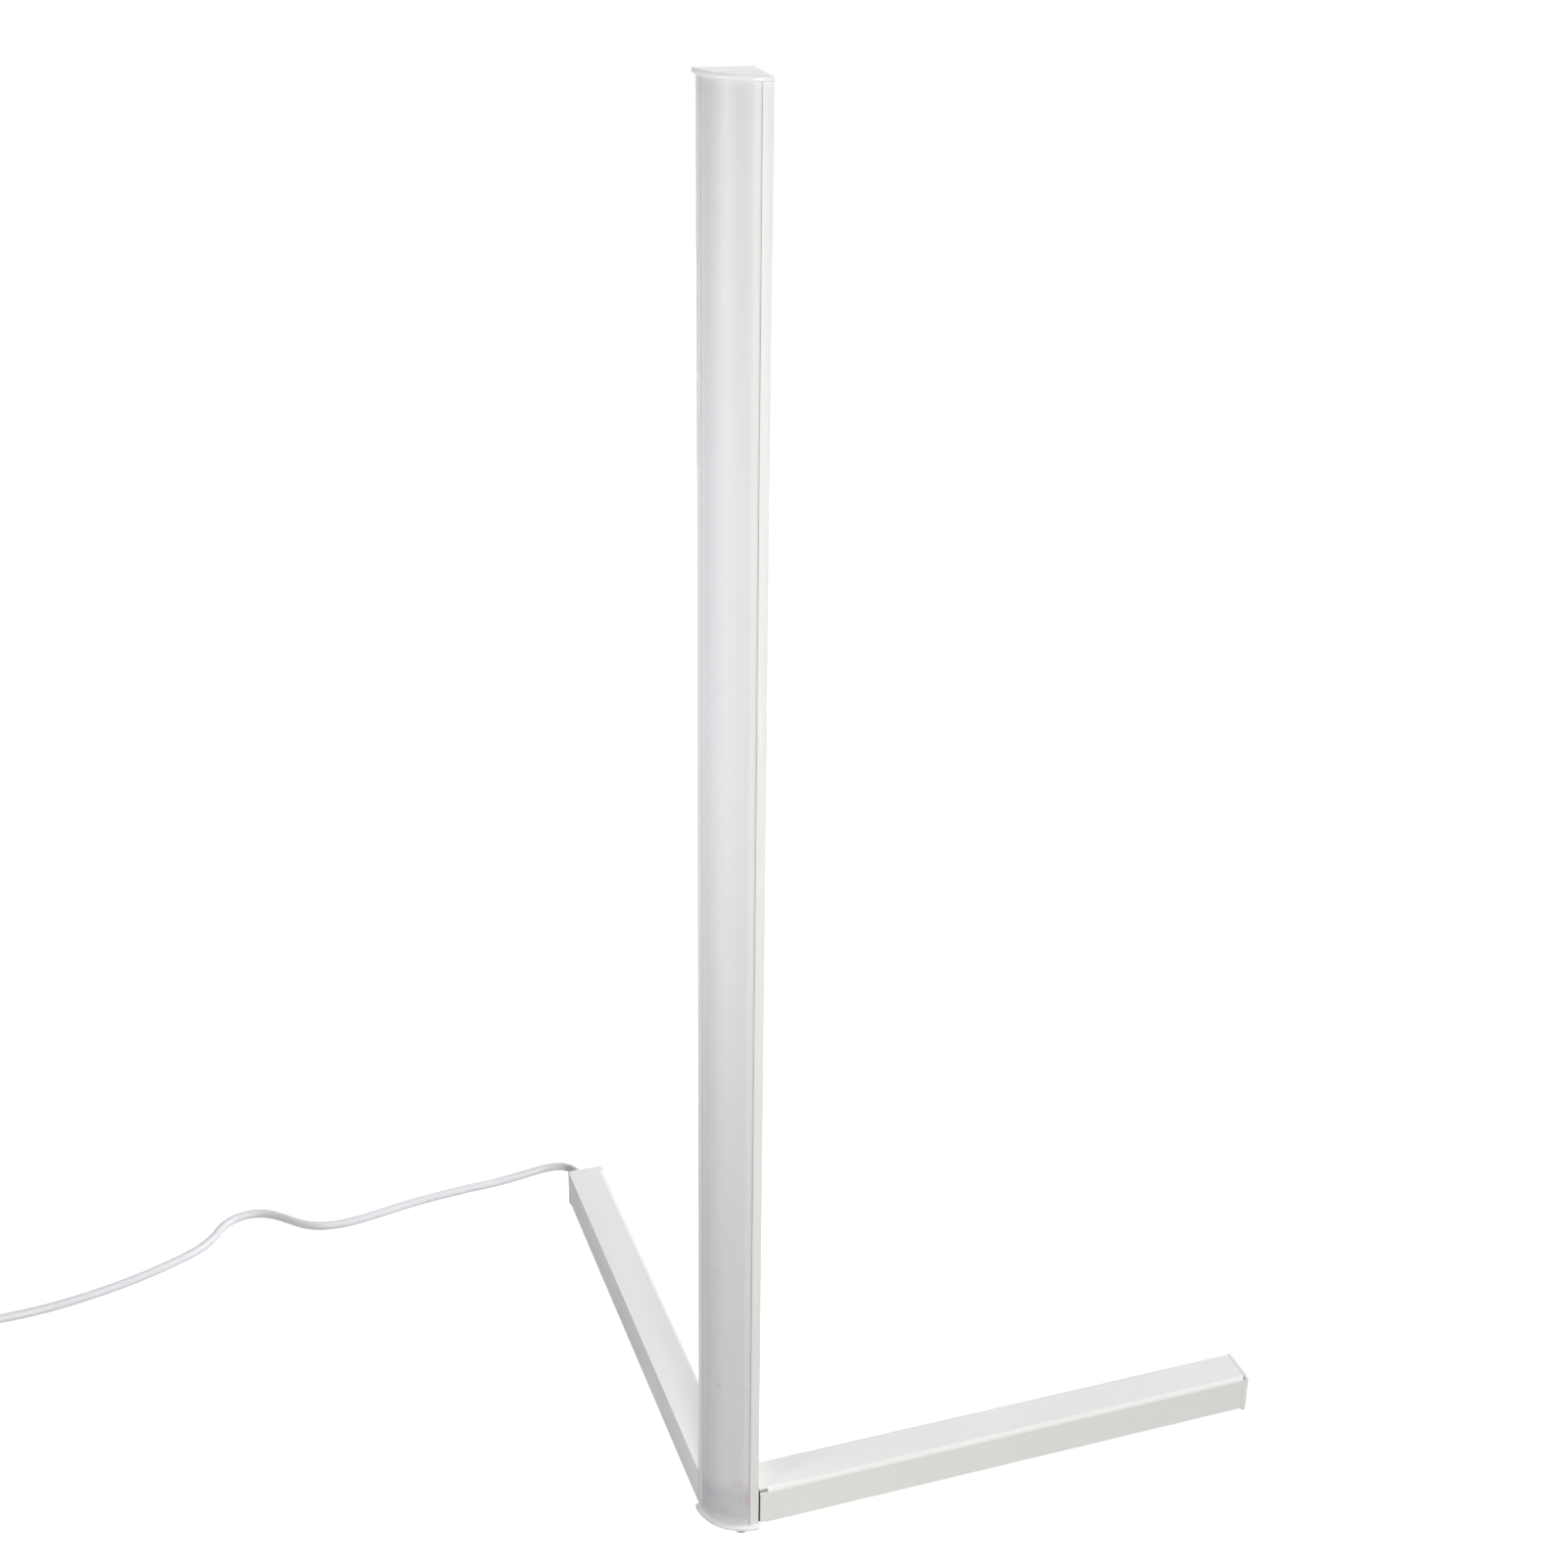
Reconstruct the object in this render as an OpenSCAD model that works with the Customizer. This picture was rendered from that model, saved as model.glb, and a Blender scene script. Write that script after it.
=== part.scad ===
// Corner floor lamp: a quarter-round light column on two low arms that stand along the walls.
// The origin is the column's square back corner, on the floor. The right arm runs along +X and
// the left arm along +Y. The lit quarter-round face looks into the corner of the room.

/* [Column] */
// Length of the column's profile between its two caps
column_len = 1032; // [400:1:1800]
// Width of each flat back face of the column
leg = 35; // [34:0.5:50]
// Wall of the column's profile
column_wall = 1.5; // [1.2:0.1:2]
// Thickness of the bare rim on each side of the diffuser
rim_t = 1.5; // [1:0.1:2]
// Length of the rim round the curve
rim_len = 6.4; // [5:0.1:8]
// Distance from the back corner to where the strip's web meets each back wall
web_reach = 16; // [15:0.5:20]
// Thickness of the web that carries the light strip
web_t = 1.5; // [1:0.1:2]
// Outer radius of the screw channels on the back walls
channel_r = 2.9; // [2.5:0.1:3.2]

/* [Diffuser] */
// Wall of the opal diffuser
diffuser_t = 1.5; // [1:0.1:2]
// Play between the diffuser's hooks and the groove, on each side
groove_play = 0.15; // [0.1:0.05:0.3]
// Open joint between the diffuser and each rim
rim_gap = 0.25; // [0.1:0.05:0.6]
// Thickness of the rib behind the groove
groove_rib = 1.4; // [1:0.1:2]

/* [Caps] */
// Thickness of the top and bottom caps
cap_t = 3.5; // [3.2:0.1:6]
// How far the caps stand out past the curve
cap_over_curve = 3; // [0.5:0.1:4]
// How far the caps stand out past the flat back faces
cap_over_flat = 0.7; // [0:0.1:2]
// Corner radius of the caps in plan
cap_corner = 2.2; // [1.6:0.1:3]
// Edge radius of the caps
cap_edge = 1.5; // [0.3:0.1:1.6]
// Height of the lip on each cap that backs the diffuser
lip_h = 3; // [2:0.5:5]
// Thickness of the rubber pad under the column
pad_t = 1; // [0.5:0.1:3]

/* [Arms] */
// Length of each arm's profile
arm_len = 400; // [390:1:700]
// Width of the arms
arm_w = 30; // [29:0.5:32]
// Height of the arms
arm_h = 30; // [30:0.5:36]
// Wall of the arms
arm_wall = 1.6; // [1.2:0.1:2]
// Radius of the one rounded top edge
arm_edge = 4; // [3:0.1:6]
// Thickness of the dark spacer between column and arm
spacer_t = 1.5; // [0.5:0.1:3]
// How far the spacer lies in from the arm's faces
spacer_inset = 1.2; // [0.5:0.1:2]
// Thickness of the plate on the outer end of each arm
plate_t = 2.5; // [1.5:0.1:4]
// How far the end plate stands out past the arm's sides
plate_proud = 0.5; // [0:0.1:1.5]
// How far the end plate stands out above the arm
plate_rise = 0.4; // [0:0.1:1]
// How far the end plate reaches down below the arm
plate_drop = 2.5; // [0:0.1:3.5]
// Length of the relief in the rounded edge beside the column
inner_relief = 6; // [3:0.5:10]
// Length of the relief in the rounded edge at the end plate
outer_relief = 1.2; // [0.5:0.1:4]
// Length of the notch in the lower edge beside the column
lower_notch = 4; // [1:0.5:8]
// Thickness of the sliding cover in the underside
cover_t = 1.8; // [1.2:0.1:2]

/* [Joints] */
// Length of the steel block that the column's bolts hold
block_len = 20; // [15:1:30]
// Radius of the bolts between column and arms
bolt_r = 2; // [1.5:0.1:2.2]
// Height of the lower bolt above the arm's underside
bolt_low = 9; // [9:0.1:10]
// Height of the upper bolt above the arm's underside
bolt_high = 24.5; // [24:0.1:25]
// Radius of the passage for the wires
passage_r = 4; // [3.9:0.1:4]

/* [Feet and ballast] */
// Radius of the rubber feet
foot_r = 8; // [6:0.5:9]
// Distance of the feet's centres from the ends of the left arm's ballast bar
foot_inset = 12; // [9:0.5:20]
// Height of the ballast bars
ballast_h = 12; // [10:0.5:13]
// Clear length between a ballast bar and the unit beside it
ballast_gap = 20; // [2:1:40]
// Clear length between the ballast bars and the arms' outer ends
end_room = 49.5; // [43.5:0.5:80]

/* [Light] */
// Width of the light strip
strip_w = 10; // [8:0.5:12]
// Thickness of the light strip
strip_t = 0.3; // [0.2:0.1:0.5]
// Distance between two light chips
chip_pitch = 33.33; // [16:0.01:50]
// Side of a light chip
chip_w = 5; // [3:0.1:5]
// Height of a light chip
chip_h = 1.6; // [1:0.1:2]

/* [Electrics] */
// Length of the supply unit in the left arm
driver_len = 100; // [60:1:105]
// Height of the supply unit
driver_h = 20; // [19.8:0.1:22]
// Length of the controller in the right arm
controller_len = 60; // [40:1:65]
// Height of the controller
controller_h = 15.5; // [15:0.5:20]

/* [Cord] */
// Diameter of the mains cord
cord_d = 7.2; // [6:0.1:7.2]
// Length of the strain relief outside the end plate
gland_tail = 14; // [12:0.5:17]
// Distance between two turns of the coil
coil_pitch = 7.8; // [7.7:0.1:9]
// Radius of the coil's innermost turn
coil_inner = 27; // [26:0.5:32]
// Thickness of the strap round the coil
tie_t = 0.8; // [0.5:0.1:1]

/* [Hidden] */
$fn = 72;
touch = 0.1;                                   // running clearance between fitted pieces
play = 0.2;                                    // clearance round a piece that is pushed in
cut = 1;                                       // how far a cutter runs past what it cuts

column_z = pad_t + cap_t;                      // the profile and both arms start here
column_top = column_z + column_len;
rim_deg = rim_len / leg * 180 / PI;
joint_deg = rim_gap / leg * 180 / PI;
groove_in = leg - rim_t - diffuser_t - 2 * groove_play;
rib_deg = 9;
hook_deg = 4;
step_deg = 2;
window_r = leg - touch;                        // the diffuser's outer face, flush with the rims
hook_r = leg - rim_t - groove_play;            // the outer face of its hooks
web_d = web_reach / sqrt(2);                   // from the back corner to the web's lit face
web_z = column_z + 29.5;                       // the web starts above the joint bolts
channel_in = leg - 7.4;                        // from the back corner to a screw channel
corner_step = 0.15;                            // keeps a corner's cut clear of the curve
pad_inset = 0.3;                               // of the pad, from the caps' flat sides
pad_back = 2;                                  // of the pad, from the bottom cap's curve
tab_r = 4.5;                                   // the pad's pull tab at the front
tab_deg = 69;
channel_off = column_wall + channel_r - 0.5;
corner_channel = column_wall + channel_r - 0.1;
screw_r = 1.3;
screw_play = 0.05;
screw_len = 14;
screw_head_r = 2.6;
screw_head_h = 1.4;

arm_axis = leg - arm_w / 2;                    // the arms' outer faces stand flush with the legs
arm_from = spacer_t;
arm_to = arm_from + arm_len;
flange_t = 1.2;                                // the two flanges under the sliding cover
flange_w = 4;
rib_w = 2;                                     // the ribs over the cover, which carry the load
cover_z = column_z + flange_t + touch;
rib_z = cover_z + cover_t + touch;
floor_z = rib_z + flange_t;                    // what lies in an arm stands on its ribs
room_top = column_z + arm_h - arm_wall;
wire_z = column_z + (bolt_low + bolt_high) / 2;
spigot_len = 6;
spigot_t = 1.5;
bolt_head_r = 3.5;
bolt_head_h = 2.6;
bolt_len = 16;
foot_screw_r = 2;
foot_head_r = 3.5;
foot_head_h = 2;
foot_recess = 3.2;
foot_screw_bite = 8;
ballast_w = arm_w - 2 * arm_wall - 2;

strip_from = web_z + 0.5;
strip_to = column_top - 2;
eye_w = 9;
chip_count = floor((strip_to - strip_from) / chip_pitch);
driver_from = 60;
driver_to = driver_from + driver_len;
controller_from = 40;
controller_to = controller_from + controller_len;
ballast_to = arm_to - end_room;
feet = [driver_to + ballast_gap + foot_inset, ballast_to - foot_inset];
gear_w = arm_w - 2 * arm_wall - 1.8;           // the supply unit and the controller
lead_d = 1.8;
wire_d = 1.4;
wire_step = 0.95;                              // half the distance between two wires
side_step = 2.8;                               // the leads beside the four wires

cord_z = column_z + 10.5;                      // where the cord leaves the left arm
gland_tip = arm_to + plate_t + gland_tail;
gland_back = arm_to - 4;
gland_neck_r = 5;
exit_at = [-arm_axis, gland_tip, cord_z];
// The cord's way over the floor, from the gland to the coil
cord_route = [exit_at, [-20, 423, 15], [-21.6, 431.4, 14.7], [-25.5, 438.8, 13.9],
    [-31.4, 444.9, 12.8], [-38.6, 449, 11.4], [-47, 451.2, 9.8], [-57, 452, 8],
    [-68, 452.4, 6.2], [-81, 452.3, 4.6], [-95, 451.8, 3.7], [-113, 451, 3.6],
    [-132, 449, 3.6], [-150, 447, 3.6], [-168, 444, 3.6], [-186, 440, 3.6],
    [-202, 436.5, 3.6], [-217, 434, 3.6], [-232, 433, 3.6], [-246, 435, 3.6],
    [-258, 441, 3.6], [-268, 450, 3.6], [-278.5, 460.5, 3.6], [-290, 468.5, 3.6],
    [-303.5, 471, 3.6], [-317, 467, 3.6], [-327, 458, 3.6], [-334.5, 447, 3.6],
    [-344, 437, 3.6], [-356, 428.5, 3.6], [-371, 421, 3.6], [-389, 413, 3.6],
    [-408, 406, 3.6], [-428, 400, 3.6], [-449, 395, 3.6], [-471, 391, 3.6],
    [-494, 389, 3.6], [-517, 388, 4], [-540, 388, 4.5], [-562, 388, 4.5]];
coil_turns = 5.25;
coil_lead = 8;
coil_rings = 24;                               // rings of the tube in one turn
coil_outer = coil_inner + coil_pitch * coil_turns / 2;
cord_end = cord_route[len(cord_route) - 1];
coil_centre = [cord_end[0] - coil_lead, cord_end[1] - coil_outer, cord_end[2]];
coil_end = coil_centre + [-coil_outer, -coil_lead, coil_pitch];
// The short stretch from the coil down to the plug
tail_route = [for (p = [[0, 0, 0], [0, -9, 0], [0, -20, -0.8], [0, -32, -2.7], [0, -44, -4.6],
    [0, -54, -5.4], [0, -62, -5.4]]) coil_end + p];
tail_end = tail_route[len(tail_route) - 1];
tie_w = 10;
tie_turn = 0.75;
tie_radii = [for (k = [0:floor(coil_turns - tie_turn)]) coil_radius(tie_turn + k)];
tie_in = coil_centre[0] + min(tie_radii) - cord_d / 2 - 1;
tie_out = coil_centre[0] + max(tie_radii) + cord_d / 2 + 0.6;
tie_top = coil_end[2] + cord_d / 2 + touch;

plug_w = 35;
plug_t = 13.7;
plug_len = 36;
plug_neck = 30;
pin_gap = 18.6;
pin_len = 19;
sleeve_len = 10;

// ---- shared functions and shapes ----

function unit(v) = v / norm(v);
function tangent(p, i) = unit(p[min(i + 1, len(p) - 1)] - p[max(i - 1, 0)]);
function carried(n, t) = unit(n - t * (n * t));
function normals(p, n, i = 0) =
    let (m = carried(n, tangent(p, i)))
    i == len(p) - 1 ? [m] : concat([m], normals(p, m, i + 1));
function path_length(p, i = 0) =
    i >= len(p) - 1 ? 0 : norm(p[i + 1] - p[i]) + path_length(p, i + 1);
function leftward(p, i) = let (t = tangent(p, i)) unit([-t[1], t[0], 0]);
function coil_radius(turn) = coil_inner + coil_pitch * abs(turn - coil_turns / 2);
function eased(s) = let (c = min(max(s, 0), 1)) c * c * (3 - 2 * c);
function coil_point(turn) =
    let (a = 90 + 360 * turn, r = coil_radius(turn),
        z = coil_pitch * eased(2 * (turn - coil_turns / 2) + 0.5))
    coil_centre + [r * cos(a), r * sin(a), z];
coil_steps = coil_turns * coil_rings;
coil_path = concat([cord_end], [for (i = [0:coil_steps]) coil_point(i / coil_rings)], [coil_end]);
least_gap = min([for (i = [0:coil_steps]) for (j = [i + coil_rings / 2:coil_steps])
    norm(coil_path[i + 1] - coil_path[j + 1])]) - cord_d;
cord_length = path_length(cord_route) + path_length(coil_path) + path_length(tail_route);

// A round tube of straight-sided rings swept along a path, closed at both ends
module tube(path, d, sides, up = [0, 0, 1]) {
    side = normals(path, up);
    last = len(path) - 1;
    points = [for (i = [0:last]) let (t = tangent(path, i), n = side[i], b = cross(t, n))
        for (k = [0:sides - 1]) path[i] + d / 2 * (cos(360 * k / sides) * n
            + sin(360 * k / sides) * b)];
    walls = [for (i = [0:last - 1]) for (k = [0:sides - 1])
        let (a = i * sides + k, b = i * sides + (k + 1) % sides)
        for (f = [[a, a + sides, b], [b, a + sides, b + sides]]) f];
    starts = [for (k = [1:sides - 2]) [0, k, k + 1]];
    ends = [for (k = [1:sides - 2]) let (e = last * sides) [e, e + k + 1, e + k]];
    polyhedron(points = points, faces = concat(walls, starts, ends));
}

// A slice of a ring about the back corner, angles counted from the left leg's tip
module ring_slice(r_in, r_out, from, to) {
    far = 2 * r_out;
    intersection() {
        difference() {
            circle(r = r_out);
            circle(r = r_in);
        }
        polygon([[0, 0], far * [cos(180 + from), sin(180 + from)],
            far * [cos(180 + (from + to) / 2), sin(180 + (from + to) / 2)],
            far * [cos(180 + to), sin(180 + to)]]);
    }
}

// What stands on one leg of the column stands on the other, mirrored
module both_legs() {
    children();
    mirror([1, -1, 0]) children();
}

// The left arm is the right arm turned a quarter about the vertical
module on_left() {
    translate([-2 * arm_axis, 0, 0]) rotate([0, 0, 90]) children();
}

// A section in Y and Z drawn out along X
module along_x(from, to) {
    translate([from, 0, 0]) rotate([90, 0, 90]) linear_extrude(to - from) children();
}

// Local X looks out of the web towards the middle of the diffuser
module on_web() {
    rotate([0, 0, 225]) translate([web_d, 0, 0]) children();
}

// A rod along X at a place across the right arm
module rod_x(from, to, z, r, y = -arm_axis) {
    translate([from, y, z]) rotate([0, 90, 0]) cylinder(h = to - from, r = r);
}

// ---- the column ----

// Half section of one screw channel, open to the inside of the column
module channel() {
    translate([-channel_in, -channel_off]) difference() {
        circle(r = channel_r);
        circle(r = screw_r + screw_play);
        translate([-0.6, -channel_r - cut]) square([1.2, channel_r + cut]);
    }
}

module column_leg() {
    translate([-leg, -column_wall]) square([leg, column_wall]);
    ring_slice(leg - rim_t, leg, 0, rim_deg);
    ring_slice(groove_in - groove_rib, groove_in, 0, rib_deg);
    channel();
}

module column_section() {
    difference() {
        both_legs() column_leg();
        translate([-2 * leg, 0]) square([4 * leg, leg]);
        translate([0, -2 * leg]) square([leg, 4 * leg]);
    }
    translate([-corner_channel, -corner_channel]) difference() {
        circle(r = channel_r);
        circle(r = screw_r + screw_play);
    }
}

module web_section() {
    back = web_reach - web_t * sqrt(2);
    end = column_wall / 2;
    polygon([[-web_reach + end, -end], [-end, -web_reach + end], [-end, -back + end],
        [-back + end, -end]]);
}

// Bolt and wire holes of one arm, through whatever lies between these two places along it
module joint_holes(from, to, r) {
    rod_x(from, to, column_z + bolt_low, r);
    rod_x(from, to, column_z + bolt_high, r);
    rod_x(from, to, wire_z, passage_r);
}

module column_profile() color("whitesmoke") difference() {
    union() {
        translate([0, 0, column_z]) linear_extrude(column_len) column_section();
        translate([0, 0, web_z]) linear_extrude(column_top - web_z) web_section();
    }
    joint_holes(-column_wall - cut, cut, bolt_r + touch);
    on_left() joint_holes(-column_wall - cut, cut, bolt_r + touch);
}

module diffuser_section() {
    edge = rim_deg + joint_deg;
    hook_in = hook_r - diffuser_t;
    ring_slice(window_r - diffuser_t, window_r, edge, 90 - edge);
    both_legs() {
        ring_slice(hook_in, window_r, edge, edge + step_deg);
        ring_slice(hook_in, hook_r, hook_deg, edge + step_deg);
    }
}

module diffuser() color("lavender")
    translate([0, 0, column_z]) linear_extrude(column_len) diffuser_section();

// Section of a plate that ends at x = reach with a rounded edge
module edge_section(reach) {
    difference() {
        square([reach, cap_t]);
        for (z = [0, cap_t]) translate([reach, z]) mirror([0, z / cap_t]) difference() {
            translate([-cap_edge, -cut]) square([cap_edge + cut, cap_edge + cut]);
            translate([-cap_edge, cap_edge]) circle(r = cap_edge);
        }
    }
}

// What is left outside a corner circle
module corner_waste() {
    difference() {
        square(cap_corner + cut);
        circle(r = cap_corner);
    }
}

// A quarter-round plate with its corners and edges rounded
module cap_plate() {
    curve_r = leg + cap_over_curve;
    far = 2 * curve_r;
    intersection() {
        rotate_extrude() edge_section(curve_r);
        both_walls() translate([-far, 0, 0]) rotate([90, 0, 90]) linear_extrude(2 * far)
            translate([-far, 0]) edge_section(far + cap_over_flat);
        translate([0, 0, -cut]) linear_extrude(cap_t + 2 * cut) difference() {
            translate([-far, -far]) square(far + cap_over_flat + cut);
            translate([cap_over_flat - cap_corner, cap_over_flat - cap_corner]) corner_waste();
            both_legs()
                translate([cap_corner + corner_step - curve_r, cap_over_flat - cap_corner])
                mirror([1, 0]) corner_waste();
        }
    }
}

module both_walls() {
    intersection() {
        children();
        mirror([1, -1, 0]) children();
    }
}

// The lip that stands behind the diffuser's window
module cap_lip() {
    lip_r = window_r - diffuser_t - play;
    inset = rim_deg + joint_deg + step_deg + 3;
    linear_extrude(lip_h) ring_slice(lip_r - 1.5, lip_r, inset, 90 - inset);
}

// Push-fit tongues that hold the top cap in the profile
module cap_tongues() {
    tongue_h = 8;
    both_legs() translate([-channel_in + channel_r + play, -column_wall - 1.7, 0])
        cube([5, 1.6, tongue_h]);
}

module top_cap() color("white") {
    translate([0, 0, column_top]) cap_plate();
    translate([0, 0, column_top]) mirror([0, 0, 1]) {
        cap_lip();
        cap_tongues();
    }
}

module channel_places() {
    both_legs() translate([-channel_in, -channel_off, 0]) children();
    translate([-corner_channel, -corner_channel, 0]) children();
}

module screw(wider) {
    cylinder(h = screw_head_h, r1 = screw_head_r + wider, r2 = screw_r + wider);
    cylinder(h = cap_t + screw_len, r = screw_r + wider);
}

module bottom_cap() color("white") difference() {
    translate([0, 0, pad_t]) union() {
        cap_plate();
        translate([0, 0, cap_t]) cap_lip();
    }
    channel_places() translate([0, 0, pad_t]) screw(screw_play);
}

module cap_screws() color("silver") channel_places() translate([0, 0, pad_t]) screw(0);

// A thin pad that lies just inside the bottom cap's outline, with a tab at its front
module column_pad() color("gray") linear_extrude(pad_t) {
    flat = cap_over_flat - pad_inset;
    tab_at = leg + cap_over_curve - pad_inset - tab_r;
    intersection() {
        circle(r = leg + cap_over_curve - pad_back);
        difference() {
            translate([-2 * leg, -2 * leg]) square(2 * leg + flat);
            translate([flat - cap_corner, flat - cap_corner]) corner_waste();
        }
    }
    translate(tab_at * [-cos(tab_deg), -sin(tab_deg)]) circle(r = tab_r);
}

// ---- the light ----

module led_strip() color("white") on_web() translate([0, -strip_w / 2, strip_from])
    cube([strip_t, strip_w, strip_to - strip_from]);

module chip_row(at) {
    for (i = [0:chip_count - 1])
        on_web() translate([strip_t, 0, strip_from + chip_pitch * (i + at)]) children();
}

module led_chips() color("lightyellow") chip_row(0.5) difference() {
    translate([0, -chip_w / 2, -chip_w / 2]) cube([chip_h, chip_w, chip_w]);
    translate([chip_h - 0.4, 0, 0]) rotate([0, 90, 0]) cylinder(h = cut, r = chip_w * 0.4);
}

module strip_resistors() color("black") chip_row(0.85)
    translate([0, -1.6, -0.8]) cube([0.6, 3.2, 1.6]);

// The receiver's eye stands on the bottom cap, behind the diffuser
module remote_eye() color("black") on_web() translate([8, 0, column_z]) {
    translate([0, -eye_w / 2, 0]) cube([7, eye_w, 10]);
    translate([7, 0, 5.5]) sphere(r = 2.4);
}

// A place on the web's side of the column: out from its face, across and up
function web_point(out, across, up) =
    [(across - web_d - out) / sqrt(2), (-across - web_d - out) / sqrt(2), up];

// The wires' way from the strip's foot round to the right arm
bundle = [[-10, -14.5, 31], [-12.5, -19, 28], [-12.5, -22.3, 25], [-10, -23.3, 22.6],
    [-7, -22.3, wire_z + 0.3], [-3.5, -arm_axis - 0.3, wire_z], [0, -arm_axis, wire_z],
    [12, -arm_axis, wire_z], [controller_from, -arm_axis, wire_z]];

// across: place over the strip's width; side and rise: place in the bundle
function wire_path(across, side, rise) =
    concat([for (z = [5, 1]) web_point(strip_t + wire_d / 2, across, strip_from + z)],
        [for (i = [0:len(bundle) - 1])
            let (t = tangent(bundle, i), left = leftward(bundle, i))
            bundle[i] + wire_step * (side * left + rise * cross(t, left))]);

module wire(across, side, rise) tube(wire_path(across, side, rise), wire_d, 6, [1, 0, 0]);
module wire_common() color("black") wire(-3.75, -1, -1);
module wire_blue() color("blue") wire(-1.25, -1, 1);
module wire_green() color("green") wire(1.25, 1, -1);
module wire_red() color("red") wire(3.75, 1, 1);

module eye_lead() color("gray") {
    y = -arm_axis - 2.3;
    z = wire_z - 1.95;
    low = column_z + 5;
    tube([web_point(11.5, eye_w / 2, low), web_point(11.5, eye_w / 2 + 1.6, low),
        [-9.8, -22.6, 10.6], [-8.3, -23.4, 13.5], [-7.4, -23.3, 17], [-5.5, y - 0.3, z - 0.4],
        [-2.5, y, z], [15, y, z], [controller_from, y, z]], 1.6, 6);
}

// ---- the arms, drawn as the right arm ----

// The outline of an arm, shrunk on every side; its rounded edge is at the low Y side
module arm_outline(inset) {
    w = arm_w - 2 * inset;
    h = arm_h - 2 * inset;
    r = arm_edge - inset;
    translate([-arm_axis - w / 2, column_z + inset]) difference() {
        square([w, h]);
        translate([0, h - r]) difference() {
            translate([-cut, 0]) square([r + cut, r + cut]);
            translate([r, 0]) circle(r = r);
        }
    }
}

// The room over the ribs
module arm_room(clear) {
    intersection() {
        arm_outline(arm_wall + clear);
        translate([-arm_axis - arm_w, floor_z + clear]) square([2 * arm_w, arm_h]);
    }
}

module arm_section() {
    difference() {
        arm_outline(0);
        arm_room(0);
        translate([-arm_axis - arm_w / 2 + arm_wall + rib_w, column_z])
            translate([0, rib_z - column_z - cut])
            square([arm_w - 2 * arm_wall - 2 * rib_w, floor_z - rib_z + 2 * cut]);
        translate([-arm_axis - arm_w / 2 + arm_wall, cover_z - touch])
            square([arm_w - 2 * arm_wall, rib_z - cover_z + touch]);
        translate([-arm_axis - arm_w / 2 + arm_wall + flange_w, column_z - cut])
            square([arm_w - 2 * arm_wall - 2 * flange_w, flange_t + 2 * cut]);
    }
}

// A step in the rounded edge, which leaves the column's rim and the end plate clear
module edge_relief(from, to) {
    reach = arm_edge * 0.75;
    translate([from, -arm_axis - arm_w / 2 - cut, column_z + arm_h - reach])
        cube([to - from, reach + cut, reach + cut]);
}

// A small notch in the lower edge of the same face
module edge_notch() {
    notch_h = flange_t - 0.2;
    translate([arm_from - cut, -arm_axis - arm_w / 2 - cut, column_z - cut])
        cube([lower_notch + cut, arm_wall + cut, notch_h + cut]);
}

module arm_profile() color("whitesmoke") difference() {
    along_x(arm_from, arm_to) arm_section();
    edge_relief(arm_from - cut, arm_from + inner_relief);
    edge_relief(arm_to - outer_relief, arm_to + cut);
    edge_notch();
}

module arm_cover() color("gainsboro") difference() {
    translate([arm_from, -arm_axis - arm_w / 2 + arm_wall + play, cover_z])
        cube([arm_len, arm_w - 2 * arm_wall - 2 * play, cover_t]);
    for (x = feet)
        translate([x, -arm_axis, cover_z - cut])
            cylinder(h = cover_t + 2 * cut, r = foot_screw_r + play);
}

module arm_spacer() color("dimgray") difference() {
    along_x(0, spacer_t) arm_outline(spacer_inset);
    joint_holes(-cut, spacer_t + cut, bolt_r + play);
}

module joint_block() color("gray") difference() {
    along_x(arm_from, arm_from + block_len) arm_room(play / 2);
    joint_holes(arm_from - cut, arm_from + block_len + cut, bolt_r + screw_play);
}

module joint_bolts() color("silver") for (z = [bolt_low, bolt_high]) difference() {
    union() {
        rod_x(-column_wall - bolt_head_h, -column_wall, column_z + z, bolt_head_r);
        rod_x(-column_wall, -column_wall + bolt_len, column_z + z, bolt_r);
    }
    translate([-column_wall - bolt_head_h - cut, -arm_axis, column_z + z])
        rotate([0, 90, 0]) cylinder(h = cut + 1.5, r = 1.7, $fn = 6);
}

// The outline of an end plate, proud of the arm all round and most of all below it
module plate_outline() {
    w = arm_w + 2 * plate_proud;
    h = arm_h + plate_rise + plate_drop;
    big = arm_edge - 1;
    small = 1;
    translate([-arm_axis - w / 2, column_z - plate_drop]) difference() {
        square([w, h]);
        translate([0, h - big]) difference() {
            translate([-cut, 0]) square([big + cut, big + cut]);
            translate([big, 0]) circle(r = big);
        }
        for (x = [0, w]) translate([x, 0]) mirror([x / w, 0]) difference() {
            translate([-cut, -cut]) square(small + cut);
            translate([small, small]) circle(r = small);
        }
        translate([w - small, h - small]) difference() {
            square(small + cut);
            circle(r = small);
        }
    }
}

module end_plate() color("white") {
    along_x(arm_to, arm_to + plate_t) plate_outline();
    along_x(arm_to - spigot_len, arm_to) difference() {
        arm_room(play);
        translate([-arm_axis - arm_w / 2 + arm_wall + play + spigot_t, floor_z - cut])
            square([arm_w - 2 * (arm_wall + play + spigot_t),
                room_top - play - spigot_t - floor_z + cut]);
        translate([-arm_axis - arm_w, room_top - arm_edge]) square([arm_w / 2 + arm_edge, arm_h]);
    }
}

module left_end_plate() color("white") difference() {
    on_left() end_plate();
    translate([-arm_axis, arm_to - spigot_len - cut, cord_z]) rotate([-90, 0, 0])
        cylinder(h = spigot_len + plate_t + 2 * cut, r = gland_neck_r + touch);
}

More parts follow.
